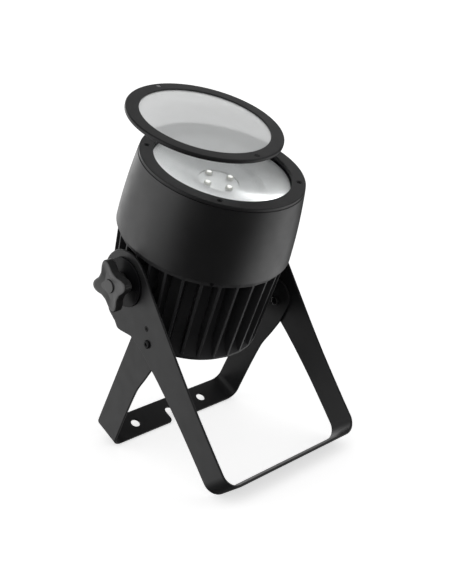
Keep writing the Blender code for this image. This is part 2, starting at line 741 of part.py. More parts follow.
def build_rear_cover(head, paint, rubber, black_steel):
    gasket = turned(ring_profile(CAVITY_RADIUS + 0.002, 0.0900, COVER_FACE + GAP, GASKET_FACE), HIDDEN_STEPS)
    gasket_piece = add_piece("cover_gasket", gasket, rubber, head)
    through = rod_profile(COVER_SCREW_SHANK + 0.0006, COVER_BACK - 0.01, SINK_BACK + 0.01)
    boolean(gasket_piece, "gasket_screw_holes", rods(cover_screw_places(), through), head)
    plate = [
        (0, COVER_FACE),
        (COVER_RADIUS, COVER_FACE),
        (COVER_RADIUS, COVER_BACK + 0.001),
        (COVER_RADIUS - 0.001, COVER_BACK),
        (0, COVER_BACK),
    ]
    cover = add_piece("rear_cover", turned(plate, LARGE_STEPS), paint, head)
    holes = rods(cover_screw_places(), through)
    for x, y, radius in SOCKETS.values():
        profile = rod_profile(radius + 0.0004, COVER_BACK - 0.01, COVER_FACE + 0.01)
        add_turned(holes, profile, MEDIUM_STEPS, Vector((x, y, 0)))
    for x, y in button_places():
        profile = rod_profile(BUTTON_RADIUS + 0.0004, COVER_BACK - 0.01, COVER_FACE + 0.01)
        add_turned(holes, profile, SMALL_STEPS, Vector((x, y, 0)))
    boolean(cover, "cover_holes", holes, head)
    width, depth = DISPLAY_SIZE
    window = rounded_box(width + 0.0006, depth + 0.0006, 0.002, (0, DISPLAY_CENTRE))
    boolean(cover, "window_pocket", prism(window, COVER_BACK - 0.01, COVER_BACK + 0.0018), head)
    screw = [
        (0, COVER_BACK - 0.0008),
        (COVER_SCREW_SHANK, COVER_BACK - 0.0008),
        (COVER_SCREW_SHANK, COVER_BACK - 0.0024),
        (COVER_SCREW_RADIUS - 0.0008, COVER_BACK - 0.0024),
        (COVER_SCREW_RADIUS, COVER_BACK - 0.0014),
        (COVER_SCREW_RADIUS, COVER_BACK - GAP),
        (COVER_SCREW_SHANK, COVER_BACK - GAP),
        (COVER_SCREW_SHANK, SINK_BACK + COVER_SCREW_DEPTH),
        (0, SINK_BACK + COVER_SCREW_DEPTH),
    ]
    for number, (x, y) in enumerate(cover_screw_places(), 1):
        add_piece(f"cover_screw_{number}", turned(screw), black_steel, head, (x, y, 0))


def build_controls(head, window_plastic, rubber, board):
    width, depth = DISPLAY_SIZE
    outline = rounded_box(width, depth, 0.0017, (0, DISPLAY_CENTRE))
    window = prism(outline, COVER_BACK - 0.0004, COVER_BACK + 0.0015)
    add_piece("display_window", window, window_plastic, head)
    flange_back = COVER_THICK + 0.0006
    button = [
        (0, flange_back + 0.0015),
        (BUTTON_RADIUS + 0.0014, flange_back + 0.0015),
        (BUTTON_RADIUS + 0.0014, flange_back),
        (BUTTON_RADIUS, flange_back),
        (BUTTON_RADIUS, -0.0012),
        (BUTTON_RADIUS - 0.0008, -0.0019),
        (0, -0.0019),
    ]
    for number, (x, y) in enumerate(button_places(), 1):
        add_piece(f"menu_button_{number}", turned(button), rubber, head, (x, y, COVER_BACK))
    outline = rounded_box(*CONTROL_BOARD_SIZE, 0.003, (0, -CONTROL_BOARD_SIZE[1] / 2 - 0.0180))
    plate = prism(outline, CONTROL_BOARD_TOP - BOARD_THICK, CONTROL_BOARD_TOP)
    add_piece("control_board", plate, board, head)


def build_sockets(head, plastic, steel):
    """Panel sockets in the rear cover: a flange outside, a barrel through it and an open mouth."""
    flange = COVER_BACK - GAP
    mouth = flange - 0.0060
    inner_end = COVER_FACE + 0.0120
    for name, (x, y, radius) in SOCKETS.items():
        profile = [
            (radius - SOCKET_WALL, mouth),
            (radius - SOCKET_WALL, mouth + SOCKET_DEPTH),
            (0, mouth + SOCKET_DEPTH),
            (0, inner_end),
            (radius, inner_end),
            (radius, flange),
            (radius + SOCKET_FLANGE, flange),
            (radius + SOCKET_FLANGE, flange - 0.0020),
            (radius, flange - 0.0020),
            (radius, mouth),
        ]
        add_piece(name, turned(profile, MEDIUM_STEPS), plastic, head, (x, y, 0))
    vent = [
        (0, flange),
        (VENT_RADIUS, flange),
        (VENT_RADIUS, flange - 0.0030),
        (VENT_RADIUS - 0.0015, flange - 0.0042),
        (0, flange - 0.0042),
    ]
    add_piece("vent_plug", turned(vent, 6), plastic, head, (0, 0.0050, 0))
    width, length = EYE_SIZE
    eye = prism(rounded_box(width, length, 0.0090, (0, -length / 2), 5), -0.0015, 0.0015)
    place = (0, 0.0600, flange)
    turn = (math.pi / 2, 0, 0)
    eye_piece = add_piece("safety_eye", eye, steel, head, place, turn)
    hole = rods([(0, 0.0100 - length)], rod_profile(EYE_HOLE_RADIUS, -0.01, 0.01))
    boolean(eye_piece, "safety_eye_hole", hole, head, location=place, turn=turn)


def build_electronics(head, board, steel):
    width, depth, height = POWER_SUPPLY_SIZE
    top = CAVITY_TOP - GAP
    body = prism(rounded_box(width, depth, 0.004), top - height, top)
    add_piece("power_supply", body, steel, head)
    outline = rounded_box(*DRIVER_BOARD_SIZE, 0.004)
    driver = prism(outline, DRIVER_BOARD_TOP - BOARD_THICK, DRIVER_BOARD_TOP)
    add_piece("led_driver_board", driver, board, head)


# Frost filter ---------------------------------------------------------------------------------


def build_filter(frame, paint, frost, steel, black_steel):
    half = FILTER_THICK / 2
    shelf = -half + FILTER_RECESS_DEPTH
    profile = [
        (FILTER_RADIUS - FILTER_CHAMFER, half),
        (FILTER_RADIUS, half - FILTER_CHAMFER),
        (FILTER_RADIUS, -half),
        (FILTER_RECESS_RADIUS, -half),
        (FILTER_RECESS_RADIUS, shelf),
        (FILTER_OPENING, shelf),
        (FILTER_OPENING, half),
    ]
    ring = add_piece("filter_frame", turned(profile, LARGE_STEPS), paint, frame)
    places = [(0, MAGNET_CIRCLE), (0, -MAGNET_CIRCLE)]
    pockets = rods(places, rod_profile(MAGNET_RADIUS + GAP, 0.0004, half + 0.002))
    boolean(ring, "magnet_pockets", pockets, frame)
    sheet_radius = FILTER_RECESS_RADIUS - 0.0004
    sheet_top = shelf - GAP
    sheet_back = sheet_top - FILTER_SHEET_THICK
    sheet = rod_profile(sheet_radius, sheet_back, sheet_top)
    add_piece("filter_diffuser", turned(sheet, LARGE_STEPS), frost, frame)
    snap = ring_profile(FILTER_OPENING + 0.0010, sheet_radius, -half, sheet_back - GAP)
    add_piece("filter_snap_ring", turned(snap, HIDDEN_STEPS), steel, frame)
    magnet = rod_profile(MAGNET_RADIUS, 0.0004 + GAP, half - 0.0002)
    for name, (x, y), finish in (("rear", places[0], steel), ("front", places[1], black_steel)):
        add_piece(f"filter_magnet_{name}", turned(magnet), finish, frame, (x, y, 0))


# Tilt knobs -----------------------------------------------------------------------------------


def star_outline():
    """Four round lobes joined by hollow flanks, as (radius, angle) points."""
    steps = 32
    outline = []
    for step in range(steps):
        angle = 2 * math.pi * step / steps
        lobe = 0.5 + 0.5 * math.cos(KNOB_LOBES * angle)
        radius = KNOB_VALLEY_RADIUS + (KNOB_TIP_RADIUS - KNOB_VALLEY_RADIUS) * lobe**1.6
        outline.append((radius, angle))
    return outline


def knob_shape():
    """A star grip with rounded edges, a dished face and a round hub behind it."""
    lobe_back = KNOB_FACE - KNOB_LOBE_THICK
    star = star_outline()
    layers = [
        (0.90, KNOB_FACE - 0.0006),
        (0.97, KNOB_FACE - 0.0010),
        (1.00, KNOB_FACE - 0.0030),
        (1.00, lobe_back + 0.0020),
        (0.95, lobe_back),
    ]
    outlines = [([KNOB_DISH_RADIUS] * len(star), KNOB_FACE - KNOB_DISH_DEPTH)]
    outlines += [([radius * scale for radius, _ in star], height) for scale, height in layers]
    outlines += [([KNOB_HUB_RADIUS] * len(star), height) for height in (lobe_back, knob_hub_back())]
    shape = bmesh.new()
    rings = []
    for radii, height in outlines:
        ring = []
        for radius, (_, angle) in zip(radii, star):
            ring.append(shape.verts.new((radius * math.cos(angle), radius * math.sin(angle), height)))
        rings.append(ring)
    for here, there in zip(rings, rings[1:]):
        for index in range(len(here)):
            after = (index + 1) % len(here)
            shape.faces.new([here[index], here[after], there[after], there[index]])
    shape.faces.new(rings[0])
    shape.faces.new(rings[-1])
    return shape


def washer_faces():
    """Start distances of the large washer, the lock washer and the knob hub along the tilt axis."""
    washer = FRONT_STRAP.half_width + GAP
    lock_washer = washer + WASHER_THICK + GAP
    return washer, lock_washer


def knob_hub_back():
    return washer_faces()[1] + LOCK_WASHER_THICK + GAP


def build_knob(head, side, name, plastic, black_steel, steel, rubber):
    """One clamp: friction disc, washers, stud and star knob, stacked outwards along the tilt axis."""
    axis = make_frame(f"knob_axis_{name}", head, turn=(0, side * math.pi / 2, 0))
    washer, lock_washer = washer_faces()
    hub_back = knob_hub_back()
    strap_inside = FRONT_STRAP.half_width - STRAP_THICK
    disc = ring_profile(STUD_HOLE_RADIUS, FRICTION_DISC_RADIUS, BOSS_FACE + GAP, strap_inside - GAP)
    add_piece(f"friction_disc_{name}", turned(disc, MEDIUM_STEPS), rubber, axis)
    washer_top = washer + WASHER_THICK
    wide = [
        (WASHER_RADIUS - 0.0010, washer_top),
        (WASHER_RADIUS, washer_top - 0.0008),
        (WASHER_RADIUS, washer),
        (STUD_HOLE_RADIUS, washer),
        (STUD_HOLE_RADIUS, washer_top),
    ]
    add_piece(f"clamp_washer_{name}", turned(wide, HIDDEN_STEPS), black_steel, axis)
    lock_top = lock_washer + LOCK_WASHER_THICK
    small = ring_profile(STUD_HOLE_RADIUS, LOCK_WASHER_RADIUS, lock_washer, lock_top)
    add_piece(f"lock_washer_{name}", turned(small), steel, axis)
    grip = add_piece(f"tilt_knob_{name}", knob_shape(), plastic, axis, turn=(0, 0, KNOB_TURN))
    bore = turned(rod_profile(STUD_RADIUS + GAP, hub_back - 0.01, hub_back + STUD_GRIP + GAP))
    boolean(grip, f"knob_bore_{name}", bore, axis)
    stud = turned(rod_profile(STUD_RADIUS, STUD_START, hub_back + STUD_GRIP))
    add_piece(f"knob_stud_{name}", stud, steel, axis)


# Assembly -------------------------------------------------------------------------------------


def build():
    clear_scene()
    paint = make_material("black_powder_coat", (0.020, 0.020, 0.021), 0.45, 0.0)
    sink_paint = make_material("black_anodised", (0.012, 0.012, 0.013), 0.50, 0.2)
    plastic = make_material("black_plastic", (0.015, 0.015, 0.015), 0.35, 0.0)
    rubber = make_material("black_rubber", (0.012, 0.012, 0.012), 0.80, 0.0)
    black_steel = make_material("black_steel", (0.030, 0.030, 0.030), 0.35, 0.8)
    steel = make_material("bright_steel", (0.55, 0.55, 0.55), 0.30, 1.0)
    aluminium = make_material("aluminium", (0.75, 0.75, 0.76), 0.35, 1.0)
    mirror = make_material("mirror_reflector", (0.90, 0.90, 0.90), 0.08, 1.0)
    glass = make_material("clear_glass", (0.85, 0.88, 0.88), 0.05, 0.0)
    frost = make_material("frosted_acrylic", (0.72, 0.73, 0.74), 0.55, 0.0)
    board = make_material("circuit_board", (0.03, 0.16, 0.07), 0.50, 0.0)
    white_board = make_material("white_board", (0.74, 0.74, 0.72), 0.45, 0.0)
    phosphor = make_material("led_phosphor", (0.92, 0.90, 0.72), 0.30, 0.0)
    smoked = make_material("smoked_window", (0.02, 0.02, 0.03), 0.10, 0.0)

    pivot = (0, PIVOT_Y, PIVOT_HEIGHT)
    front_frame = make_frame("front_bracket_frame", location=pivot, turn=(FRONT_LEG_ANGLE, 0, 0))
    build_front_bracket(front_frame, paint)
    build_bracket_fasteners(front_frame, black_steel, steel)

    hinge_y = PIVOT_Y + HINGE_ALONG * math.sin(FRONT_LEG_ANGLE) + HINGE_ACROSS * math.cos(FRONT_LEG_ANGLE)
    hinge_z = PIVOT_HEIGHT - HINGE_ALONG * math.cos(FRONT_LEG_ANGLE)
    hinge_z += HINGE_ACROSS * math.sin(FRONT_LEG_ANGLE)
    rear_frame = make_frame("rear_bracket_hinge", location=(0, hinge_y, hinge_z), turn=(REAR_LEG_ANGLE, 0, 0))
    build_rear_bracket(rear_frame, paint)

    head = make_frame("head_tilt_axis", location=pivot, turn=(HEAD_TILT, 0, 0))
    build_front_shell(head, paint)
    build_bezel(head, paint, black_steel)
    build_optics(head, glass, rubber, mirror)
    build_light_engine(head, white_board, phosphor, aluminium)
    build_heat_sink(head, sink_paint)
    build_rear_cover(head, paint, rubber, black_steel)
    build_controls(head, smoked, rubber, board)
    build_sockets(head, plastic, steel)
    build_electronics(head, board, steel)
    for side, name in ((-1, "left"), (1, "right")):
        build_knob(head, side, name, plastic, black_steel, steel, rubber)

    x, y, z = FILTER_OFFSET
    filter_frame = make_frame("filter_lift", head, location=(x, y, BEZEL_FACE + z))
    build_filter(filter_frame, paint, frost, steel, black_steel)


build()
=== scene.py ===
"""Looks of the par can light: fine surfaces, materials, studio light and camera.

Metres, +Z up. Each fine piece is built in the local frame of the part that it stands for. In the
head's frame Z is the optical axis and X the tilt axis. Materials come from the record's slots.
"""

import json
from dataclasses import dataclass
from math import cos, pi, radians, sin, sqrt, tan
from typing import NamedTuple

import bmesh
import bpy
from mathutils import Matrix, Vector


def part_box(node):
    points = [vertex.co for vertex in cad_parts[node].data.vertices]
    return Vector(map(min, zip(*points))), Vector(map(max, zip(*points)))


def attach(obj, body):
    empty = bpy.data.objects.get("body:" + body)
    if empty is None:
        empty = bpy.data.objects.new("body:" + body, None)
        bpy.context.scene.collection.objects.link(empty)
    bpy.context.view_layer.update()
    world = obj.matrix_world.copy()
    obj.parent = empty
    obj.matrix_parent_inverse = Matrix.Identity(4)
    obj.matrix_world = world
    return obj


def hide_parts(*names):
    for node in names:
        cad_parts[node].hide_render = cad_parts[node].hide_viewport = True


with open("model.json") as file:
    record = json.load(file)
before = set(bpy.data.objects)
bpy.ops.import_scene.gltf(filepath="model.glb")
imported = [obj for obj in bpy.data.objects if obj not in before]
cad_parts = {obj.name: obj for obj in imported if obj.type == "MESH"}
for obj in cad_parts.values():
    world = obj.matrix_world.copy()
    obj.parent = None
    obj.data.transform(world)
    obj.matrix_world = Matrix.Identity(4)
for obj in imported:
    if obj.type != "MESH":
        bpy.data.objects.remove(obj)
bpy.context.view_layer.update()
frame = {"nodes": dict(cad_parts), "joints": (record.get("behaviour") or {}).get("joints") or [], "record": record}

# --- Driving dimensions ---

FINE_STEPS = 192
ROUND_STEPS = 96
SMALL_STEPS = 48
TINY_STEPS = 24
FILLET_STEPS = 4
SHARP_ANGLE = radians(38)

SHELL_FLARE = 0.0084
SHELL_BELLY = 0.0016
SHELL_WALL = 0.0026
RIM_BORE = 0.0882  # where the lens and its gasket sit
LEDGE_OPENING = 0.0840
LEDGE_THICK = 0.0074
BEZEL_OPENING = 0.0835
BEZEL_SCREW_CIRCLE = 0.0915

REFLECTOR_WALL = 0.0012
LED_RADIUS = 0.0045
LED_FOOT = 0.0010
PEDESTAL_RADIUS = 0.0258
PEDESTAL_FLANGE_RADIUS = 0.0400

FIN_COUNT = 30
FIN_THICK = 0.0034
FIN_ROOT = 0.0042
SINK_COLLAR_RADIUS = 0.1043
SINK_BACK_RADIUS = 0.0976
SINK_FLOOR_RADIUS = 0.0840
SINK_COLLAR = 0.0155
SINK_RIM = 0.0035
SINK_RAMP = 0.0240
CAVITY_RADIUS = 0.0740
CAVITY_TOP = 0.0340
BOSS_RADIUS = 0.0220
BOSS_FACE = 0.1070

COVER_SCREW_CIRCLE = 0.0835
COVER_SCREW_HOLE = 0.0021
SOCKET_FLANGE = 0.0040
BUTTON_RADIUS = 0.0036
VENT_RADIUS = 0.0050
WINDOW_SIZE = (0.0420, 0.0180)
WINDOW_GAP = 0.0003

# Screws, as (head radius, head height, shank radius)
BEZEL_SCREW = (0.0029, 0.0015, 0.0014)
COLLAR_SCREW = (0.0024, 0.0010, 0.0012)
COVER_SCREW = (0.0036, 0.0021, 0.0015)
HINGE_SCREW = (0.0052, 0.0018, 0.0030)
PLUG_RADIUS = 0.0028
NUT_RADIUS = 0.0058
NUT_BORE = 0.0033

STRAP_THICK = 0.0030
STRAP_EDGE = 0.0012  # radius of the strap's rounded edges
STUD_HOLE = (0.0, 0.0, 0.0045)  # distance down the leg, across it, radius
HINGE_HOLE = (0.0768, 0.0079, 0.0033)
LOCK_HOLE = (0.0611, -0.0023, 0.0032)
REAR_HOLE_SPREAD = 0.0580
REAR_HOLE_RADIUS = 0.0062
REAR_HOLE_ACROSS = 0.0100
SLOT_RADIUS = 0.0068
SLOT_MOUTH_RADIUS = 0.0060
SLOT_MOUTH_EDGE = -0.0088
STOP_TAB_LENGTH = 0.0080
STOP_TAB_LINE = ((0.0433, 0.0487), (0.0554, 0.0350))  # its middle, as (down, across)

KNOB_LOBES = 4
KNOB_VALLEY = 0.63  # radius between two lobes, as a share of the radius at their tips
KNOB_TURN = radians(31.3)
KNOB_CAP_RADIUS = 0.0078
KNOB_HUB_RADIUS = 0.0130
KNOB_BORE = 0.0043
WASHER_BORE = 0.0045

FILTER_OPENING = 0.0794
FILTER_RECESS = 0.0850
FILTER_LIP = 0.0030
MAGNET_RADIUS = 0.0030

CAMERA_AZIMUTH = radians(-44.13)
CAMERA_ELEVATION = radians(18.18)
CAMERA_ROLL = radians(-0.69)
CAMERA_DISTANCE = 1.3056
CAMERA_TARGET = (0.0504, 0.0260, 0.1797)
CAMERA_LENS = 62.58
SENSOR = 36.0

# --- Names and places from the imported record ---

RECORD = frame["record"]
JOINTS = {joint["name"]: joint for joint in frame["joints"]}
MOUNTS = {mount["name"]: mount for mount in RECORD["mounts"]}
SLOT_OF = {part["node"]: part["material_slot"] for part in RECORD["subparts"]}
BODY_OF = {node: body for body, nodes in RECORD["behaviour"]["bodies"].items() for node in nodes}
SIDES = (("left", -1), ("right", 1))
EMITTERS = tuple(f"led_emitter_{number}" for number in range(1, 5))
BUTTONS = tuple(f"menu_button_{number}" for number in range(1, 5))
SOCKETS = ("power_inlet", "power_outlet", "data_input", "data_output")
MAGNETS = ("filter_magnet_rear", "filter_magnet_front")
BOARDS = ("power_supply", "led_driver_board", "control_board")
# These get head_coat: a darker, glossier copy of the brackets' powder coat. Its darker tone is painted shade.
PAINTED_SHADE_NODES = ("front_shell",)  # painted with a slightly glossier coat than the brackets


def place_at(origin, up):
    """A local frame with Z along `up` and X along the world's X."""
    z = Vector(up).normalized()
    x = Vector((1, 0, 0))
    turn = Matrix((x, z.cross(x), z)).transposed().to_4x4()
    return Matrix.Translation(Vector(origin)) @ turn


PIVOT = Vector(JOINTS["head_tilt"]["pos_m"])
HEAD = place_at(PIVOT, JOINTS["button_press_1"]["axis"])
HEAD_AXIS = tuple(HEAD.to_3x3().col[2])
FRONT_LEGS = place_at(PIVOT, -Vector(MOUNTS["front_bracket_face"]["axis"]))
REAR_LEGS = place_at(JOINTS["rear_leg_fold"]["pos_m"], -Vector(MOUNTS["rear_bracket_face"]["axis"]))


def sideways(side):
    """Turns Z to point out of the left (-1) or right (1) side."""
    return Matrix.Rotation(side * pi / 2, 4, "Y")


def cad_points(node, place):
    """A CAD node's corners in a local frame."""
    inverse = place.inverted()
    return [inverse @ vertex.co for vertex in frame["nodes"][node].data.vertices]


def heights(node, place=HEAD):
    """Lowest and highest corner of a CAD node along a local Z."""
    values = [point.z for point in cad_points(node, place)]
    return min(values), max(values)


def middle(node, place=HEAD):
    """The (x, y) middle of a CAD node in a local frame."""
    spans = [[point[axis] for point in cad_points(node, place)] for axis in (0, 1)]
    return tuple((min(span) + max(span)) / 2 for span in spans)


def reach(node, place=HEAD):
    """Largest radius of a CAD node about a local Z."""
    return max(point.xy.length for point in cad_points(node, place))


# --- Node trees ---


def add_node(tree, kind, values=None, out=0, **settings):
    """One output of a new shader node. A value that is a socket is linked, and any other is set."""
    node = tree.nodes.new(f"ShaderNode{kind}")
    for name, value in settings.items():
        setattr(node, name, value)
    for key, value in (values or {}).items():
        if isinstance(value, bpy.types.NodeSocket):
            tree.links.new(value, node.inputs[key])
        else:
            node.inputs[key].default_value = value
    return node.outputs[out]


def new_tree(owner):
    """The empty node tree of a material or a world."""
    owner.use_nodes = True
    owner.node_tree.nodes.clear()
    return owner.node_tree


def set_surface(tree, shader, kind="OutputMaterial"):
    output = tree.nodes.new(f"ShaderNode{kind}")
    tree.links.new(shader, output.inputs["Surface"])


def new_material(name, surface, *values):
    """A material whose surface is the shader that `surface` makes in its tree."""
    material = bpy.data.materials.new(name)
    tree = new_tree(material)
    set_surface(tree, surface(tree, *values))
    return material


def noise(tree, size, detail=2.0, stretch=(1, 1, 1), roughness=0.5):
    """A noise whose features are about `size` metres across."""
    coordinates = add_node(tree, "TexCoord", out="Object")
    mapping = add_node(tree, "Mapping", {"Vector": coordinates, "Scale": stretch})
    values = {"Vector": mapping, "Scale": 1 / size, "Detail": detail, "Roughness": roughness}
    return add_node(tree, "TexNoise", values, "Fac")


def spread(tree, value, low, high, start=0.3, end=0.7, **settings):
    """Maps start..end onto low..high. A noise mostly lies between 0.3 and 0.7."""
    values = {"Value": value, "From Min": start, "From Max": end, "To Min": low, "To Max": high}
    return add_node(tree, "MapRange", values, "Result", **settings)


def bump(tree, value, depth, normal=None):
    values = {"Height": value, "Distance": depth, "Strength": 1.0}
    if normal is not None:
        values["Normal"] = normal
    return add_node(tree, "Bump", values, "Normal")


def shade(colour, share):
    """A colour made lighter or darker by a share."""
    return tuple(channel * share for channel in colour[:3]) + (1.0,)


def mix_colours(tree, factor, first, second):
    """A blend of two colours. Inputs 0, 6 and 7 are its factor and its two colours."""
    return add_node(tree, "Mix", {0: factor, 6: first, 7: second}, 2, data_type="RGBA")


def mix_shaders(tree, factor, first, second):
    return add_node(tree, "MixShader", {0: factor, 1: first, 2: second})


def clear(tree, share=1.0):
    """A shader that lets light straight through."""
    return add_node(tree, "BsdfTransparent", {"Color": (share, share, share, 1)})


def blotched(tree, colour, amount, size):
    """A colour that varies by `amount` over patches of `size` metres."""
    factor = spread(tree, noise(tree, size, 3.0), 0.0, 1.0)
    return mix_colours(tree, factor, shade(colour, 1 - amount), shade(colour, 1 + amount))


def painted_edge_highlight(tree, colour, amount):
    """Lightens a colour on outer edges: a painted edge highlight."""
    pointiness = add_node(tree, "NewGeometry", out="Pointiness")
    return mix_colours(tree, spread(tree, pointiness, 0.0, amount, 0.53, 0.62), colour, EDGE_HIGHLIGHT_COLOUR)


def light_path(tree, *kinds):
    """1 for a ray of any of the given kinds, else 0."""
    total = add_node(tree, "LightPath", out=kinds[0])
    for kind in kinds[1:]:
        other = add_node(tree, "LightPath", out=kind)
        total = add_node(tree, "Math", {0: total, 1: other}, operation="MAXIMUM")
    return total


# --- Materials ---

# Colour of the painted highlight on outer edges
EDGE_HIGHLIGHT_COLOUR = (0.07, 0.07, 0.07, 1.0)
# Paints, plastics and rubber: colour, roughness, grain size, grain depth, painted edge highlight, specular level
COATS = {
    "powder_coat": ((0.022, 0.022, 0.023), 0.40, 0.0008, 0.000010, 0.0, 0.5),
    # A darker, glossier copy of powder_coat for the barrel; the darker tone is painted shade.
    "head_coat": ((0.010, 0.010, 0.011), 0.40, 0.0008, 0.000010, 0.0, 1.0),
    "sink_coat": ((0.040, 0.040, 0.042), 0.45, 0.0012, 0.000020, 0.5, 0.4),
    "black_screw": ((0.010, 0.010, 0.011), 0.30, 0.0005, 0.000004, 0.0, 0.15),
    "knob_plastic": ((0.034, 0.034, 0.034), 0.30, 0.0009, 0.000010, 0.3, 0.9),
    "seal_rubber": ((0.012, 0.012, 0.012), 0.78, 0.0007, 0.000012, 0.1, 0.5),
    "window_plastic": ((0.012, 0.012, 0.020), 0.08, 0.0040, 0.000002, 0.0, 0.5),
    "circuit_board": ((0.03, 0.16, 0.07), 0.40, 0.0015, 0.000010, 0.1, 0.5),
    "white_board": ((0.88, 0.88, 0.87), 0.40, 0.0015, 0.000006, 0.0, 0.5),
}
# Bare metals: colour, roughness, how much finer the lines are across each axis
METALS = {
    "bright_steel": ((0.55, 0.55, 0.55), 0.28, (1, 12, 12)),
    "engine_aluminium": ((0.75, 0.75, 0.76), 0.32, (12, 12, 1)),
}


def coated(tree, colour, roughness, grain_size, grain_depth, edge_highlight, shine):
    """Paint, powder coat, plastic or rubber: a fine grain, uneven gloss and a painted highlight on the edges."""
    values = {
        "Base Color": painted_edge_highlight(tree, blotched(tree, colour, 0.10, 0.045), edge_highlight),
        "Roughness": spread(tree, noise(tree, 0.018, 4.0), roughness - 0.03, roughness + 0.04),
        "Specular IOR Level": shine,
        "Normal": bump(tree, noise(tree, grain_size, 3.0, roughness=0.6), grain_depth),
    }
    return add_node(tree, "BsdfPrincipled", values)


def brushed(tree, colour, roughness, stretch):
    """Bare metal with fine lines along one direction and a little uneven gloss."""
    lines = noise(tree, 0.0004, 2.0, stretch)
    values = {
        "Base Color": blotched(tree, colour, 0.06, 0.008),
        "Metallic": 1.0,
        "Roughness": spread(tree, lines, roughness - 0.08, roughness + 0.10),
        "Normal": bump(tree, lines, 0.000004),
    }
    return add_node(tree, "BsdfPrincipled", values)


def lens_glass(tree):
    """Clear glass with a fine hammered skin. Lamps and shadows see it as plain tinted glass."""
    fine = noise(tree, 0.0008)
    waves = bump(tree, noise(tree, 0.0024, 1.0), 0.00003)
    values = {
        "Base Color": (0.97, 0.975, 0.975, 1),
        "Roughness": spread(tree, fine, 0.02, 0.07),
        "IOR": 1.45,
        "Transmission Weight": 1.0,
        "Normal": bump(tree, fine, 0.00001, waves),
    }
    glass = add_node(tree, "BsdfPrincipled", values)
    tinted = add_node(tree, "BsdfTransparent", {"Color": (0.95, 0.96, 0.96, 1)})
    passes = light_path(tree, "Is Shadow Ray", "Is Diffuse Ray")
    return mix_shaders(tree, passes, glass, tinted)


def frosted_sheet(tree):
    """Milky acrylic: some light is scattered, the rest shows what is behind, blurred. A faint emission in the
    milky part is a painted glow.
    """
    tone = blotched(tree, (0.92, 0.93, 0.93), 0.012, 0.02)
    grain = bump(tree, noise(tree, 0.0006), 0.000006)
    skin = {"Base Color": tone, "Roughness": 0.45, "Normal": grain}
    white = add_node(tree, "BsdfPrincipled", skin)
    glow = add_node(tree, "BsdfTranslucent", {"Color": tone, "Normal": grain})
    # Painted glow: a faint emission that lightens the milky part
    lift = add_node(tree, "Emission", {"Strength": 0.09})
    milk = add_node(tree, "AddShader", {0: mix_shaders(tree, 0.5, white, glow), 1: lift})
    values = {"Color": (0.97, 0.97, 0.97, 1), "Roughness": 0.13, "IOR": 1.2, "Normal": grain}
    blurred = add_node(tree, "BsdfRefraction", values)
    sheet = mix_shaders(tree, 0.42, milk, blurred)
    return mix_shaders(tree, light_path(tree, "Is Shadow Ray"), sheet, clear(tree, 0.94))


def spun_direction(tree):
    """Direction of the lathe lines: round the lamp's axis, whichever way the head is tilted."""
    spot = add_node(tree, "TexCoord", out="Object")
    arm = add_node(tree, "VectorMath", {0: spot, 1: tuple(PIVOT)}, operation="SUBTRACT")
    around = add_node(tree, "VectorMath", {0: HEAD_AXIS, 1: arm}, operation="CROSS_PRODUCT")
    ways = {"convert_from": "OBJECT", "convert_to": "WORLD"}
    turn = add_node(tree, "VectorTransform", {0: around}, **ways)
    return add_node(tree, "VectorMath", {0: turn}, operation="NORMALIZE")


def reflector_metal(tree):
    """A spun aluminium dish: bright satin metal that shows lamps as wedges towards its middle."""
    peen = noise(tree, 0.0014)
    skin = bump(tree, peen, 0.000006)
    tone = blotched(tree, (0.92, 0.92, 0.92), 0.05, 0.012)
    satin = add_node(tree, "BsdfDiffuse", {"Color": tone, "Roughness": 0.3, "Normal": skin})
    values = {
        "Base Color": (0.90, 0.90, 0.90, 1),
        "Metallic": 1.0,
        "Roughness": spread(tree, peen, 0.29, 0.34),
        "Anisotropic": 1.0,
        "Anisotropic Rotation": 0.25,
        "Tangent": spun_direction(tree),
        "Normal": skin,
    }
    return mix_shaders(tree, 0.40, satin, add_node(tree, "BsdfPrincipled", values))


def painted_glint_dome(tree):
    """Pale phosphor under a clear dome, with a faint painted glow all over and a painted white glint on its top.
    """
    normal = add_node(tree, "NewGeometry", out="Normal")
    ways = {"vector_type": "NORMAL", "convert_from": "WORLD", "convert_to": "OBJECT"}
    rested = add_node(tree, "VectorTransform", {0: normal}, **ways)
    glint_facing = add_node(tree, "VectorMath", {0: rested, 1: HEAD_AXIS}, "Value", operation="DOT_PRODUCT")
    values = {
        "Base Color": blotched(tree, (0.90, 0.89, 0.82), 0.04, 0.002),
        "Roughness": 0.08,
        "Coat Weight": 1.0,
        "Coat IOR": 1.9,
        "Emission Color": (1.0, 0.99, 0.96, 1.0),
        # Painted glow: emission that rises to a white glint where the dome faces along the head's axis
        "Emission Strength": spread(tree, glint_facing, 0.05, 1.5, 0.86, 0.97),
    }
    return add_node(tree, "BsdfPrincipled", values)


OTHERS = {
    "lens_glass": lens_glass,
    "frost_acrylic": frosted_sheet,
    "reflector_metal": reflector_metal,
    "led_phosphor": painted_glint_dome,
}
MATERIALS = {name: new_material(name, coated, *values) for name, values in COATS.items()}
MATERIALS.update({name: new_material(name, brushed, *values) for name, values in METALS.items()})
MATERIALS.update({name: new_material(name, surface) for name, surface in OTHERS.items()})

# --- Mesh helpers ---


class Corner(NamedTuple):
    """A corner of a turned outline. `form` makes its ring other than round."""

    radius: float
    height: float
    fillet: float = 0.0
    form: object = None


def hexagon(angle):
    """Share of the corner radius at an angle round a hexagon."""
    sixth = pi / 3
    return cos(sixth / 2) / cos((angle % sixth) - sixth / 2)


def star(angle):
    """Share of the tip radius at an angle round a knob's lobes."""
    lobe = 0.5 + 0.5 * cos(KNOB_LOBES * angle)
    return KNOB_VALLEY + (1 - KNOB_VALLEY) * lobe**1.6


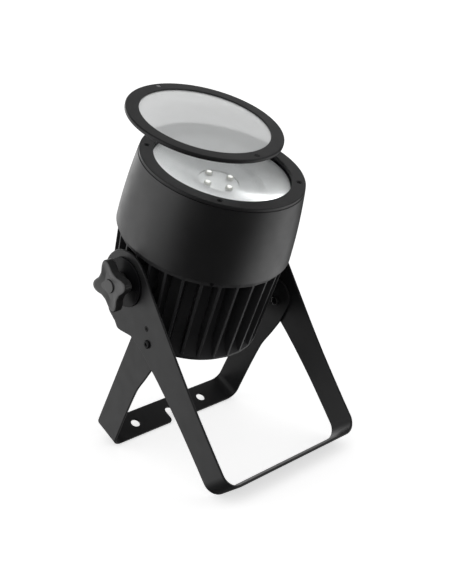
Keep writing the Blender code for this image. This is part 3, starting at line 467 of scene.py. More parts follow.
def fillet_arc(point, to_before, to_after, fillet):
    """Points of the arc that rounds a corner, given the ways to its neighbours."""
    half = to_before.angle(to_after) / 2
    leave = min(fillet / tan(half), 0.45 * to_before.length, 0.45 * to_after.length)
    bisector = (to_before.normalized() + to_after.normalized()).normalized()
    centre = point + bisector * leave * tan(half) / sin(half)
    start = point + to_before.normalized() * leave - centre
    end = point + to_after.normalized() * leave - centre
    turn = -start.angle_signed(end) / FILLET_STEPS
    return [centre + Matrix.Rotation(turn * step, 2) @ start for step in range(FILLET_STEPS + 1)]


def soften(corners):
    """An outline's (radius, height, form) points, with an arc for each corner that has a fillet."""
    corners = [Corner(*corner) for corner in corners]
    outline = []
    for index, corner in enumerate(corners):
        point = Vector(corner[:2])
        to_before = Vector(corners[index - 1][:2]) - point
        to_after = Vector(corners[(index + 1) % len(corners)][:2]) - point
        if corner.fillet and to_before.length and to_after.length:
            spots = fillet_arc(point, to_before, to_after, corner.fillet)
            outline += [(*spot, corner.form) for spot in spots]
        else:
            outline.append((corner.radius, corner.height, corner.form))
    return outline


def bridge(shape, rings):
    """Joins each ring of vertices to the next one with faces."""
    for here, there in zip(rings, rings[1:]):
        for index, vertex in enumerate(here):
            after = (index + 1) % len(here)
            face = list(dict.fromkeys([vertex, here[after], there[after], there[index]]))
            if len(face) > 2:
                shape.faces.new(face)


def tube(sections):
    """A closed solid through a row of (x, y, z) sections."""
    shape = bmesh.new()
    rings = [[shape.verts.new(point) for point in section] for section in sections]
    bridge(shape, rings)
    shape.faces.new(rings[0])
    shape.faces.new(rings[-1])
    return shape


def turned(corners, steps=SMALL_STEPS, *centres, start=0.0):
    """A closed outline of corners revolved about Z, or about each of some (x, y) centres."""
    shape = bmesh.new()
    for centre in centres or ((0, 0),):
        rings = []
        for radius, height, form in soften(corners):
            if radius == 0:
                rings.append([shape.verts.new((*centre, height))] * steps)
                continue
            ring_here = []
            for step in range(steps):
                angle = 2 * pi * step / steps
                out = radius * (form(angle) if form else 1.0)
                x = centre[0] + out * cos(angle + start)
                y = centre[1] + out * sin(angle + start)
                ring_here.append(shape.verts.new((x, y, height)))
            rings.append(ring_here)
        bridge(shape, rings + rings[:1])
    return shape


def rod(radius, low, high, edge=0.0):
    """Outline of a plain rod with softened rims."""
    return [(0, high), (radius, high, edge), (radius, low, edge), (0, low)]


def ring(inner, outer, low, high, edge=0.0):
    """Outline of a flat ring with softened rims."""
    return [(outer, high, edge), (outer, low, edge), (inner, low, edge), (inner, high, edge)]


def cap_screw(size, top, end):
    """Outline of a button-head screw with a hexagon socket."""
    radius, head, shank = size
    socket = radius * 0.5
    floor = top - head * 0.65
    return [
        (0, floor), (socket, floor, 0.0, hexagon), (socket, top, 0.0, hexagon),
        (radius * 0.72, top, 0.0003), (radius, top - head * 0.4, 0.0004),
        (radius, top - head, 0.0001),
        (shank, top - head), (shank, end, 0.0003), (0, end),
    ]


def prism(outline, low, high, edge=0.0):
    """An (x, y) outline extruded between two heights, with softened rims."""
    shape = tube([[(x, y, height) for x, y in outline] for height in (low, high)])
    bmesh.ops.recalc_face_normals(shape, faces=shape.faces)
    if edge:
        rims = [e for e in shape.edges if abs(e.verts[0].co.z - e.verts[1].co.z) < 1e-9]
        round_edges(shape, rims, edge)
    return shape


def round_edges(shape, edges, width):
    options = {"segments": 3, "profile": 0.5, "affect": "EDGES", "clamp_overlap": True}
    bmesh.ops.bevel(shape, geom=edges, offset=width, **options)


def between(start, end, count):
    """Evenly spaced values from start to end, in `count` steps."""
    return [start + (end - start) * step / count for step in range(count + 1)]


def arc(x, y, radius, start, end, steps):
    """Points on an arc about (x, y), between two angles in degrees."""
    angles = between(radians(start), radians(end), steps)
    return [(x + radius * cos(angle), y + radius * sin(angle)) for angle in angles]


def rounded_box(width, depth, radius, centre, corner_steps=8):
    """The (x, y) outline of a rectangle with round corners."""
    outline = []
    for quarter, (side, end) in enumerate([(1, 1), (-1, 1), (-1, -1), (1, -1)]):
        x = centre[0] + side * (width / 2 - radius)
        y = centre[1] + end * (depth / 2 - radius)
        outline += arc(x, y, radius, 90 * quarter, 90 * quarter + 90, corner_steps)
    return outline


def square_places(radius):
    """Four places on a circle, halfway between the axes."""
    angles = [pi / 4 + pi / 2 * index for index in range(4)]
    return [(radius * cos(angle), radius * sin(angle)) for angle in angles]


def merge(target, shape, turn=Matrix.Identity(4)):
    """Adds one bmesh to another, turned."""
    mesh = bpy.data.meshes.new("merge")
    shape.transform(turn)
    shape.to_mesh(mesh)
    shape.free()
    target.from_mesh(mesh)
    bpy.data.meshes.remove(mesh)


def cad_copy(node, edge):
    """A CAD node's shape with its corners joined, its flat faces whole and its edges rounded."""
    shape = bmesh.new()
    shape.from_mesh(frame["nodes"][node].data)
    shape.transform(HEAD.inverted())
    bmesh.ops.remove_doubles(shape, verts=shape.verts, dist=1e-6)
    limit = radians(1.0)
    bmesh.ops.dissolve_limit(shape, angle_limit=limit, verts=shape.verts, edges=shape.edges)
    paired = [e for e in shape.edges if len(e.link_faces) == 2]
    round_edges(shape, [e for e in paired if e.calc_face_angle() > radians(60)], edge)
    return shape


def new_object(name, data):
    thing = bpy.data.objects.new(name, data)
    bpy.context.scene.collection.objects.link(thing)
    return thing


def smooth(mesh):
    mesh.shade_smooth()
    mesh.set_sharp_from_angle(angle=SHARP_ANGLE)


def add_object(name, shape, place=Matrix.Identity(4), material=None):
    """A smooth-shaded mesh object in world coordinates."""
    mesh = bpy.data.meshes.new(name)
    bmesh.ops.recalc_face_normals(shape, faces=shape.faces)
    shape.to_mesh(mesh)
    shape.free()
    mesh.transform(place)
    smooth(mesh)
    if material:
        mesh.materials.append(material)
    return new_object(name, mesh)


def combine(piece, shape, place, operation):
    """Cuts a shape out of a piece, or joins it on, for good."""
    helper = add_object("helper", shape, place)
    modifier = piece.modifiers.new("combine", "BOOLEAN")
    modifier.operation = operation
    modifier.solver = "EXACT"
    modifier.object = helper
    graph = bpy.context.evaluated_depsgraph_get()
    piece.data = bpy.data.meshes.new_from_object(piece.evaluated_get(graph))
    piece.modifiers.clear()
    smooth(piece.data)
    bpy.data.objects.remove(helper, do_unlink=True)


def enrol(piece, slot, body):
    """Gives a piece its body, and normals by which only softened edges catch the light."""
    modifier = piece.modifiers.new("flat_faces", "WEIGHTED_NORMAL")
    modifier.keep_sharp = True
    modifier.weight = 90
    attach(piece, body)


def stand_for(node, shape, place=HEAD, joined=(), cut=()):
    """Shows a fine piece instead of a CAD node, with shapes joined on and then cut out."""
    finish = "head_coat" if node in PAINTED_SHADE_NODES else SLOT_OF[node]
    piece = add_object(f"{node}_fine", shape, place, MATERIALS[finish])
    for other in joined:
        combine(piece, other, place, "UNION")
    for other in cut:
        combine(piece, other, place, "DIFFERENCE")
    enrol(piece, SLOT_OF[node], BODY_OF[node])
    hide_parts(node)


def stand_turned(node, corners, steps, place=HEAD):
    """A turned piece about its CAD node's own middle."""
    stand_for(node, turned(corners, steps, middle(node, place)), place)


def stand_screw(node, size, place=HEAD):
    low, high = heights(node, place)
    stand_turned(node, cap_screw(size, high, low), SMALL_STEPS, place)


def stand_disc(node, bore, edge, steps, place=HEAD, cut=()):
    """A plain disc or ring about Z, as wide and as thick as its CAD node."""
    low, high = heights(node, place)
    radius = reach(node, place)
    corners = ring(bore, radius, low, high, edge) if bore else rod(radius, low, high, edge)
    stand_for(node, turned(corners, steps), place, cut=cut)


def add_detail(name, shape, place, slot):
    """A small piece of the head that has no CAD node of its own."""
    enrol(add_object(name, shape, place, MATERIALS[slot]), slot, "lamp_head")


# --- Barrel, bezel and optics ---

BEZEL_BACK, BEZEL_FACE = heights("front_bezel")
BEZEL_RADIUS = reach("front_bezel")
SHELL_BACK, SHELL_FRONT = heights("front_shell")
LENS_BACK = heights("front_lens")[0]
BEZEL_SCREWS = square_places(BEZEL_SCREW_CIRCLE)
BEZEL_HOLE = 0.0017


def barrel_radius(height):
    """The barrel widens towards the back with a slight belly."""
    back = (BEZEL_FACE - height) / (BEZEL_FACE - SHELL_BACK)
    return BEZEL_RADIUS + SHELL_FLARE * back + 4 * SHELL_BELLY * back * (1 - back)


def build_barrel():
    outer = [(barrel_radius(height), height) for height in between(SHELL_FRONT, SHELL_BACK, 12)]
    outer[0] += (0.0002,)
    outer[-1] += (0.0002,)
    ledge_back = LENS_BACK - LEDGE_THICK
    inner = [
        (barrel_radius(SHELL_BACK) - SHELL_WALL, SHELL_BACK, 0.0006),
        (barrel_radius(ledge_back) - SHELL_WALL, ledge_back, 0.001),
        (LEDGE_OPENING, ledge_back, 0.0005), (LEDGE_OPENING, LENS_BACK, 0.0003),
        (RIM_BORE, LENS_BACK), (RIM_BORE, SHELL_FRONT, 0.0003),
    ]
    hole = rod(BEZEL_HOLE, SHELL_FRONT - 0.0100, SHELL_FRONT + 0.001)
    holes = turned(hole, TINY_STEPS, *BEZEL_SCREWS)
    stand_for("front_shell", turned(outer + inner, FINE_STEPS), cut=[holes])


def build_bezel():
    """The flat ring with its four sunk screws, and the glass and gasket under it."""
    corners = [
        (BEZEL_RADIUS, BEZEL_FACE, 0.0009), (BEZEL_RADIUS, BEZEL_BACK, 0.0001),
        (BEZEL_OPENING, BEZEL_BACK, 0.0003), (BEZEL_OPENING, BEZEL_FACE, 0.0006),
    ]
    bore = 0.0033
    rim = 0.0004
    seat = [
        (0, BEZEL_FACE + 0.001), (bore + rim, BEZEL_FACE + 0.001),
        (bore + rim, BEZEL_FACE), (bore, BEZEL_FACE - rim), (bore, BEZEL_FACE - 0.0018),
        (BEZEL_HOLE, BEZEL_FACE - 0.0018), (BEZEL_HOLE, BEZEL_BACK - 0.001),
        (0, BEZEL_BACK - 0.001),
    ]
    seats = turned(seat, TINY_STEPS, *BEZEL_SCREWS)
    stand_for("front_bezel", turned(corners, FINE_STEPS), cut=[seats])
    for number in range(1, 5):
        stand_screw(f"bezel_screw_{number}", BEZEL_SCREW)
    stand_disc("front_lens", 0, 0.0005, FINE_STEPS)
    stand_disc("lens_gasket", BEZEL_OPENING + 0.0004, 0.0004, FINE_STEPS)


def build_reflector():
    """A dished ring from the light source out to just under the glass."""
    low, high = heights("reflector")
    foot = low + REFLECTOR_WALL
    rim = LEDGE_OPENING - 0.0020
    throat = reach("led_board") + 0.0001
    inner = []
    for share in between(0, 1, 20):
        inner.append((throat + (rim - throat) * share, foot + (high - foot) * share**1.6))
    outer = [(radius + REFLECTOR_WALL, height - REFLECTOR_WALL) for radius, height in inner]
    outer[-1] = (rim + REFLECTOR_WALL, high)
    stand_for("reflector", turned(outer[::-1] + [(throat, low)] + inner, FINE_STEPS))


def led_dome(base, top):
    """Outline of a light point: a flattened dome on a short round foot."""
    foot = base + LED_FOOT
    corners = [(0, top)]
    for angle in between(0, pi / 2, 10)[1:]:
        corners.append((LED_RADIUS * sin(angle), foot + (top - foot) * cos(angle)))
    return corners + [(LED_RADIUS, base), (0, base)]


def build_light_engine():
    stand_disc("led_board", 0, 0.0002, ROUND_STEPS)
    for node in EMITTERS:
        stand_turned(node, led_dome(*heights(node)), SMALL_STEPS)
    low, high = heights("led_pedestal")
    pillar = [
        (0, high), (PEDESTAL_RADIUS, high, 0.0005),
        (PEDESTAL_RADIUS, low + 0.010, 0.004),
        (PEDESTAL_FLANGE_RADIUS, low + 0.006, 0.001),
        (PEDESTAL_FLANGE_RADIUS, low, 0.0005), (0, low),
    ]
    stand_for("led_pedestal", turned(pillar, ROUND_STEPS))


# --- Heat sink ---

SINK_BACK, SINK_TOP = heights("heat_sink")
COLLAR_BACK = SINK_TOP - SINK_COLLAR
RIM_TOP = SINK_BACK + SINK_RIM


def fin_outer(height):
    """Radius of the fins' outer edges, which lean in towards the back."""
    share = (COLLAR_BACK - height) / (COLLAR_BACK - SINK_BACK)
    return SINK_COLLAR_RADIUS + (SINK_BACK_RADIUS - SINK_COLLAR_RADIUS) * max(share, 0)


def fin_ring(height, outer, floor):
    """One level of the finned drum: every fin as a rounded tip, two flanks and root fillets."""
    depth = outer - floor
    tip = min(0.0006, depth * 0.3)
    root = min(0.0012, depth * 0.4)
    side = arc(FIN_THICK / 2 - tip, outer - tip, tip, 90, 0, 3)
    side += arc(FIN_ROOT / 2 + root, floor + root, root, 180, 270, 3)
    points = []
    for fin in range(FIN_COUNT):
        for across, radius in [(-a, r) for a, r in reversed(side)] + side:
            angle = 2 * pi * fin / FIN_COUNT + across / radius
            points.append((radius * cos(angle), radius * sin(angle), height))
    return points


def sink_levels():
    """(height, outer radius, slot floor radius) from the collar down to the back rim."""
    ease = 0.0008
    edge = 0.0005
    collar = SINK_COLLAR_RADIUS
    levels = [
        (SINK_TOP, collar - 0.0003, collar - 0.0003),
        (SINK_TOP - 0.0003, collar, collar), (COLLAR_BACK + ease, collar, collar),
    ]
    for share in (0.25, 0.6, 0.85, 1.0):
        floor = collar - (collar - SINK_FLOOR_RADIUS) * share**2
        levels.append((COLLAR_BACK - ease * (share - 0.25), collar, floor))
    ramp_top = RIM_TOP + SINK_RAMP
    for height in between(COLLAR_BACK, ramp_top, 6)[1:]:
        levels.append((height, fin_outer(height), SINK_FLOOR_RADIUS))
    for share in between(0, 1, 8)[1:]:
        height = ramp_top - SINK_RAMP * share
        rise = (fin_outer(RIM_TOP) - SINK_FLOOR_RADIUS) * (0.35 * share + 0.65 * share**3)
        levels.append((height, fin_outer(height), SINK_FLOOR_RADIUS + rise))
    levels += [
        (SINK_BACK + edge, SINK_BACK_RADIUS, SINK_BACK_RADIUS),
        (SINK_BACK, SINK_BACK_RADIUS - edge, SINK_BACK_RADIUS - edge),
        (SINK_BACK, CAVITY_RADIUS, CAVITY_RADIUS),
        (CAVITY_TOP, CAVITY_RADIUS, CAVITY_RADIUS),
    ]
    return levels


def on_both_sides(corners, steps):
    """One turned shape along X on each side of the head."""
    pair = bmesh.new()
    for _, side in SIDES:
        merge(pair, turned(corners, steps), sideways(side))
    return pair


def build_heat_sink():
    """The finned drum, with a threaded boss on each side for a knob's stud."""
    bosses = on_both_sides(rod(BOSS_RADIUS, 0.0780, BOSS_FACE, 0.0008), ROUND_STEPS)
    bores = on_both_sides(rod(KNOB_BORE, 0.0840, BOSS_FACE + 0.004), TINY_STEPS)
    drum = tube([fin_ring(*level) for level in sink_levels()])
    stand_for("heat_sink", drum, joined=[bosses], cut=[bores])
    build_collar_screws()


def build_collar_screws():
    """Four small screws through the collar, which hold the barrel to the heat sink."""
    height = (SHELL_BACK + COLLAR_BACK) / 2
    screw = cap_screw(COLLAR_SCREW, SINK_COLLAR_RADIUS + 0.0011, SINK_COLLAR_RADIUS - 0.004)
    for number, degrees in enumerate((54, 126, 234, 306), 1):
        around = Matrix.Rotation(radians(degrees), 4, "Z")
        place = HEAD @ Matrix.Translation((0, 0, height)) @ around @ sideways(1)
        add_detail(f"collar_screw_{number}", turned(screw, TINY_STEPS), place, "black_screw")


# --- Rear panel ---

COVER_BACK, COVER_FACE = heights("rear_cover")
COVER_SCREWS = square_places(COVER_SCREW_CIRCLE)


def socket_radius(node):
    """Barrel radius of a panel socket, inside its flange."""
    low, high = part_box(node)
    return (high.x - low.x) / 2 - SOCKET_FLANGE


def window_outline(gap, radius):
    width, depth = WINDOW_SIZE
    return rounded_box(width + 2 * gap, depth + 2 * gap, radius, middle("display_window"))


def build_rear_cover():
    radius = reach("rear_cover")
    plate = [(0, COVER_FACE), (radius, COVER_FACE, 0.0003), (radius, COVER_BACK, 0.0012), (0, COVER_BACK)]
    through = (COVER_BACK - 0.002, COVER_FACE + 0.002)
    holes = turned(rod(COVER_SCREW_HOLE, *through), TINY_STEPS, *COVER_SCREWS)
    for node in SOCKETS:
        merge(holes, turned(rod(socket_radius(node) + 0.0004, *through), ROUND_STEPS, middle(node)))
    button_hole = rod(BUTTON_RADIUS + 0.0004, *through)
    merge(holes, turned(button_hole, SMALL_STEPS, *[middle(node) for node in BUTTONS]))
    window = prism(window_outline(WINDOW_GAP, 0.002), through[0], COVER_BACK + 0.0018)
    stand_for("rear_cover", turned(plate, FINE_STEPS), cut=[holes, window])
    low, high = heights("cover_gasket")
    holes = turned(rod(COVER_SCREW_HOLE, low - 0.001, high + 0.001), TINY_STEPS, *COVER_SCREWS)
    stand_disc("cover_gasket", CAVITY_RADIUS + 0.002, 0.0003, FINE_STEPS, cut=[holes])
    for number in range(1, 5):
        stand_screw(f"cover_screw_{number}", COVER_SCREW, HEAD @ Matrix.Rotation(pi, 4, "X"))


def build_controls():
    """The display's window, and four buttons with a flange inside and a dished face outside."""
    window = prism(window_outline(0.0, 0.0017), *heights("display_window"), 0.0004)
    stand_for("display_window", window)
    for node in BUTTONS:
        low, high = heights(node)
        corners = [
            (0, high),
            (0.0050, high, 0.0002),
            (0.0050, high - 0.0015, 0.0002),
            (BUTTON_RADIUS, high - 0.0015),
            (BUTTON_RADIUS, low, 0.0009),
            (0.0022, low, 0.0006),
            (0.0012, low + 0.0004, 0.0004),
            (0, low + 0.0005),
        ]
        stand_turned(node, corners, SMALL_STEPS)


def build_socket(node):
    """A round panel socket: barrel, flange, bore, and what is in the bore."""
    radius = socket_radius(node)
    low, high = heights(node)
    seat = COVER_BACK - 0.0003
    flange = seat - 0.0020
    bore = radius - 0.0022
    floor = low + 0.0110
    corners = [
        (bore, low, 0.0006), (bore, floor), (0, floor), (0, high),
        (radius, high, 0.0006), (radius, seat), (radius + SOCKET_FLANGE, seat, 0.0002),
        (radius + SOCKET_FLANGE, flange, 0.0007), (radius, flange, 0.0004),
        (radius, low, 0.0006),
    ]
    stand_turned(node, corners, ROUND_STEPS)
    add_contacts(node, bore, floor - 0.0001)


def add_contacts(node, bore, top):
    """The insulator and the metal contacts inside a panel socket: blades or round pins."""
    centre = middle(node)
    end = top - 0.0055
    core = turned(rod(bore - 0.0016, end, top, 0.0005), ROUND_STEPS, centre)
    add_detail(f"{node}_core", core, HEAD, "knob_plastic")
    for number, degrees in enumerate((90, 210, 330), 1):
        angle = radians(degrees)
        x = centre[0] + bore * 0.48 * cos(angle)
        y = centre[1] + bore * 0.48 * sin(angle)
        span = (end - 0.0030, end - 0.0001)
        if node.startswith("power"):
            contact = prism(rounded_box(0.0030, 0.0014, 0.0004, (x, y), 3), *span, 0.0002)
        else:
            contact = turned(rod(0.0011, *span, 0.0005), TINY_STEPS, (x, y))
        add_detail(f"{node}_contact_{number}", contact, HEAD, "bright_steel")


def build_vent_and_eye():
    low, high = heights("vent_plug")
    vent = [
        (0, high), (0.0065, high, 0.0002, hexagon),
        (0.0065, high - 0.0028, 0.0004, hexagon), (VENT_RADIUS, high - 0.0030),
        (VENT_RADIUS, low, 0.0005), (0.0020, low, 0.0003), (0.0020, low + 0.0010),
        (0, low + 0.0010),
    ]
    stand_turned("vent_plug", vent, SMALL_STEPS)
    stand_for("safety_eye", cad_copy("safety_eye", 0.0008))


# --- Brackets ---


@dataclass
class Strap:
    """A U-shaped bracket bent from one flat strap. Edge points are (distance down the leg, across)."""

    half_width: float
    length: float
    bend_radius: float
    top_radius: float
    top_centre: tuple
    front_edge: tuple
    back_edge: tuple


FRONT_STRAP = Strap(
    half_width=0.1132,
    length=0.2690,
    bend_radius=0.0200,
    top_radius=0.0386,
    top_centre=(0.0, 0.0),
    front_edge=((0.0, -0.0386), (0.030, -0.0358), (0.150, -0.0260), (0.225, -0.0237), (0.269, -0.0236)),
    back_edge=(
        (0.0, 0.0386), (0.020, 0.0478), (0.033, 0.0502), (0.042, 0.0500), (0.057, 0.0332),
        (0.104, 0.0220), (0.170, 0.0160), (0.225, 0.0148), (0.269, 0.0148),
    ),
)
REAR_STRAP = Strap(
    half_width=0.1096,
    length=0.1825,
    bend_radius=0.0150,
    top_radius=0.0240,
    top_centre=(-0.0040, 0.0055),
    front_edge=((-0.004, -0.0185), (0.020, -0.0185), (0.046, -0.0146), (0.078, -0.0090), (0.1825, -0.0088)),
    back_edge=((-0.004, 0.0295), (0.1825, 0.0294)),
)


def smooth_value(points, where):
    """A smooth curve through (position, value) points, with level ends."""
    if where <= points[0][0]:
        return points[0][1]
    slopes = [0.0]
    for before, after in zip(points, points[2:]):
        slopes.append((after[1] - before[1]) / (after[0] - before[0]))
    slopes.append(0.0)
    for index, (start, end) in enumerate(zip(points, points[1:])):
        if where > end[0]:
            continue
        span = end[0] - start[0]
        t = (where - start[0]) / span
        rise = t * t * (3 - 2 * t)
        leave = t * (1 - t) ** 2 * slopes[index] * span
        arrive = t * t * (t - 1) * slopes[index + 1] * span
        return start[1] + (end[1] - start[1]) * rise + leave + arrive
    return points[-1][1]


def edge_across(strap, side, down):
    """How far across the strap its front (-1) or back (1) edge is, at a distance down the leg."""
    top, centre = strap.top_centre
    if down < top:
        return centre + side * sqrt(strap.top_radius**2 - (down - top) ** 2)
    return smooth_value(strap.front_edge if side < 0 else strap.back_edge, down)


def edge_outward(strap, side, down):
    """Outward (down, across) direction of the leg's outline at one of its edges."""
    top, centre = strap.top_centre
    across = edge_across(strap, side, down)
    if down < top:
        return Vector((down - top, across - centre)).normalized()
    step = 0.0005
    slope = (edge_across(strap, side, down + step) - across) / step
    return side * Vector((-slope, 1.0)).normalized()


def strap_stations(strap):
    """(down, outer corner, thickness direction, leg direction) from a leg's top to the cross bar."""
    top = strap.top_centre[0]
    leg_end = strap.length - strap.bend_radius
    downs = [top - strap.top_radius * cos(radians(angle)) for angle in range(2, 90, 4)]
    for start, end, step in ((top, 0.12, 0.003), (0.12, leg_end, 0.02)):
        downs += between(start, end, round((end - start) / step))[:-1]
    across, along = Vector((1, 0)), Vector((0, -1))
    stations = [(down, Vector((-strap.half_width, -down)), across, along) for down in downs + [leg_end]]
    centre = Vector((strap.bend_radius - strap.half_width, -leg_end))
    for angle in range(6, 91, 6):
        inward = Vector((cos(radians(angle)), sin(radians(angle))))
        corner = centre - strap.bend_radius * inward
        stations.append((strap.length, corner, inward, Vector((inward.y, -inward.x))))
    return stations


def strap_section(strap, down, corner, inward, along):
    """The strap's cross-section with rounded edges, as (x, y, z) points."""
    rounds = arc(STRAP_EDGE, STRAP_EDGE, STRAP_EDGE, 180, 270, 3)
    profile = rounds + [(STRAP_THICK - depth, inset) for depth, inset in reversed(rounds)]
    points = []
    for side, walk in ((-1, profile), (1, reversed(profile))):
        across = edge_across(strap, side, down)
        outward = edge_outward(strap, side, down)
        for depth, inset in walk:
            flat = corner + inward * depth - along * outward.x * inset
            points.append((flat.x, across - outward.y * inset, flat.y))
    return points


def strap_shape(strap):
    left = [strap_section(strap, *station) for station in strap_stations(strap)]
    right = [[(-x, y, z) for x, y, z in section] for section in reversed(left)]
    return tube(left + right)


def leg_holes(*holes):
    """Cutters along X through both legs, for (down, across, radius) holes."""
    cutters = bmesh.new()
    end = FRONT_STRAP.half_width + 0.015
    for down, across, radius in holes:
        merge(cutters, turned(rod(radius, -end, end), SMALL_STEPS, (down, across)), sideways(1))
    return cutters


def stop_tabs():
    """Flanges bent inwards from the lower edge of the front strap's lobes."""
    tabs = bmesh.new()
    low = FRONT_STRAP.half_width - STOP_TAB_LENGTH
    high = FRONT_STRAP.half_width - STRAP_THICK / 2
    start, end = [Vector(point) for point in STOP_TAB_LINE]
    along = (end - start).normalized()
    half_thick = Vector((-along.y, along.x)) * STRAP_THICK / 2
    outline = [start + half_thick, end + half_thick, end - half_thick, start - half_thick]
    for _, side in SIDES:
        tab = prism([(side * down, across) for down, across in outline], low, high, STRAP_EDGE)
        merge(tabs, tab, sideways(side))
    return tabs


def slot_outline():
    """The hook slot: round at its closed end, with rounded corners where it meets the edge."""
    mouth = SLOT_MOUTH_RADIUS
    corner = arc(SLOT_RADIUS + mouth, SLOT_MOUTH_EDGE + mouth, mouth, 268, 180, 11)
    half = [(corner[0][0], SLOT_MOUTH_EDGE - 0.02)] + corner
    half += arc(0, REAR_HOLE_ACROSS - 0.0020, SLOT_RADIUS, 0, 90, 15)
    return half + [(-x, y) for x, y in reversed(half[:-1])]


def cross_bar_holes():
    """Two round holes with eased rims through the rear cross bar."""
    outside = -REAR_STRAP.length
    inside = outside + STRAP_THICK
    rim = 0.0004
    wide = REAR_HOLE_RADIUS + rim
    corners = [
        (0, inside + 0.01), (wide, inside + 0.01), (wide, inside),
        (REAR_HOLE_RADIUS, inside - rim), (REAR_HOLE_RADIUS, outside + rim),
        (wide, outside), (wide, outside - 0.01), (0, outside - 0.01),
    ]
    places = [(x, REAR_HOLE_ACROSS) for x in (-REAR_HOLE_SPREAD, REAR_HOLE_SPREAD)]
    return turned(corners, SMALL_STEPS, *places)


def build_brackets():
    front_holes = leg_holes(STUD_HOLE, HINGE_HOLE, LOCK_HOLE)
    stand_for("front_bracket", strap_shape(FRONT_STRAP), FRONT_LEGS, [stop_tabs()], [front_holes])
    slot = prism(slot_outline(), -REAR_STRAP.length - 0.01, -REAR_STRAP.length + 0.01)
    rear_cutters = [leg_holes((0, 0, HINGE_HOLE[2])), cross_bar_holes(), slot]
    stand_for("rear_bracket", strap_shape(REAR_STRAP), REAR_LEGS, cut=rear_cutters)
    for name, side in SIDES:
        build_hinge(name, FRONT_LEGS @ sideways(side))


def build_hinge(name, place):
    """The hinge's screw and nut on one leg, and the flush socket plug above them."""
    stand_screw(f"hinge_screw_{name}", HINGE_SCREW, place)
    low, high = heights(f"lock_screw_{name}", place)
    plug = [
        (0, high - 0.0010), (PLUG_RADIUS / 2, high - 0.0010, 0, hexagon),
        (PLUG_RADIUS / 2, high, 0, hexagon), (PLUG_RADIUS, high, 0.0004),
        (PLUG_RADIUS, low, 0.0003), (0, low),
    ]
    stand_turned(f"lock_screw_{name}", plug, TINY_STEPS, place)
    low, high = heights(f"hinge_nut_{name}", place)
    nut = [
        (NUT_BORE, high), (NUT_RADIUS, high, 0.0004, hexagon),
        (NUT_RADIUS, low, 0.0007, hexagon), (NUT_BORE + 0.0004, low),
        (NUT_BORE, low + 0.0004),
    ]
    stand_turned(f"hinge_nut_{name}", nut, SMALL_STEPS, place)


# --- Knobs ---


def knob_corners(back, face, tip):
    """Outline of the star grip: dished face with a plain round cap, rounded lobes, round hub."""
    lobe_back = face - 0.0110
    return [
        (0, face - 0.0002), (KNOB_CAP_RADIUS, face - 0.0002, 0.0006),
        (KNOB_CAP_RADIUS + 0.0006, face - 0.0018, 0.0004),
        (tip * 0.52, face - 0.0018, 0.0010, star),
        (tip * 0.86, face - 0.0004, 0.0006, star), (tip, face - 0.0006, 0.0016, star),
        (tip * 0.995, lobe_back, 0.0014, star), (tip * 0.62, lobe_back, 0.0004, star),
        (KNOB_HUB_RADIUS, lobe_back - 0.0003, 0.0004), (KNOB_HUB_RADIUS, back, 0.0006),
        (KNOB_BORE, back), (KNOB_BORE, back + 0.0120), (0, back + 0.0120),
    ]


def build_clamp(name, place):
    """Knob, stud, washers and friction disc of one side."""
    node = f"tilt_knob_{name}"
    corners = knob_corners(*heights(node, place), reach(node, place))
    stand_for(node, turned(corners, FINE_STEPS, start=KNOB_TURN), place)
    stand_disc(f"knob_stud_{name}", 0, 0.0006, SMALL_STEPS, place)
    for kind, edge in (("clamp_washer", 0.0007), ("friction_disc", 0.0003), ("lock_washer", 0.0004)):
        stand_disc(f"{kind}_{name}", WASHER_BORE, edge, ROUND_STEPS, place)


# --- Frost filter ---


def build_filter():
    place = HEAD @ Matrix.Translation((*middle("filter_diffuser"), 0))
    low, high = heights("filter_frame", place)
    outer = reach("filter_frame", place)
    corners = [
        (outer, high, 0.0018), (outer, low, 0.0010), (FILTER_RECESS, low, 0.0003),
        (FILTER_RECESS, low + FILTER_LIP), (FILTER_OPENING, low + FILTER_LIP, 0.0003),
        (FILTER_OPENING, high, 0.0006),
    ]
    pockets = bmesh.new()
    for node in MAGNETS:
        bottom, top = heights(node, place)
        pocket = rod(MAGNET_RADIUS + 0.0003, bottom - 0.0003, high + 0.001)
        merge(pockets, turned(pocket, TINY_STEPS, middle(node, place)))
        stand_turned(node, rod(MAGNET_RADIUS, bottom, top, 0.0003), SMALL_STEPS, place)
    stand_for("filter_frame", turned(corners, FINE_STEPS), place, cut=[pockets])
    stand_disc("filter_diffuser", 0, 0.0002, FINE_STEPS, place)
    stand_disc("filter_snap_ring", FILTER_OPENING + 0.0010, 0.0003, FINE_STEPS, place)


# --- Studio ---

FLOOR_LIFT = 0.61
WORLD_STRENGTH = 0.60
REFLECTED_BASE = 0.04
# Soft lights that only reflections see: direction, inner and outer half angle, strength
REFLECTED_LIGHTS = (
    ((-0.30, 0.93, -0.12), 14, 44, 0.80),
    ((-0.80, 0.52, -0.30), 8, 38, 0.50),
    ((0.43, 0.89, -0.15), 6, 22, 0.80),
    ((0.68, -0.28, -0.67), 10, 42, 1.05),
    ((0.66, 0.29, 0.69), 10, 40, 0.12),
    ((0.81, 0.52, 0.27), 6, 24, 0.60),
    ((0.68, -0.50, 0.54), 8, 30, 0.80),
    ((-0.95, 0.15, 0.30), 8, 32, 1.00),
    ((0.30, 0.92, 0.28), 8, 30, 1.00),
)
# Soft boxes: position, size, power, and the nodes that they light
SOFTBOXES = {
    "wide_softbox": ((1.50, 0.70, 1.32), 1.2, 46.0, ("reflector", "led_board")),
    "wedge_softbox": ((1.40, 1.16, 1.32), 0.20, 5.0, ("reflector", *EMITTERS)),
}
SOFTBOX_TARGET = (0, 0, 0.2)
CARD_CORNERS = ((-0.09, 0.03, -0.40), (-0.09, 0.70, -0.40), (-0.09, 0.70, 0.12), (-0.09, 0.03, 0.12))


def grey_diffuse(tree, grey):
    return add_node(tree, "BsdfDiffuse", {"Color": (grey, grey, grey, 1)})


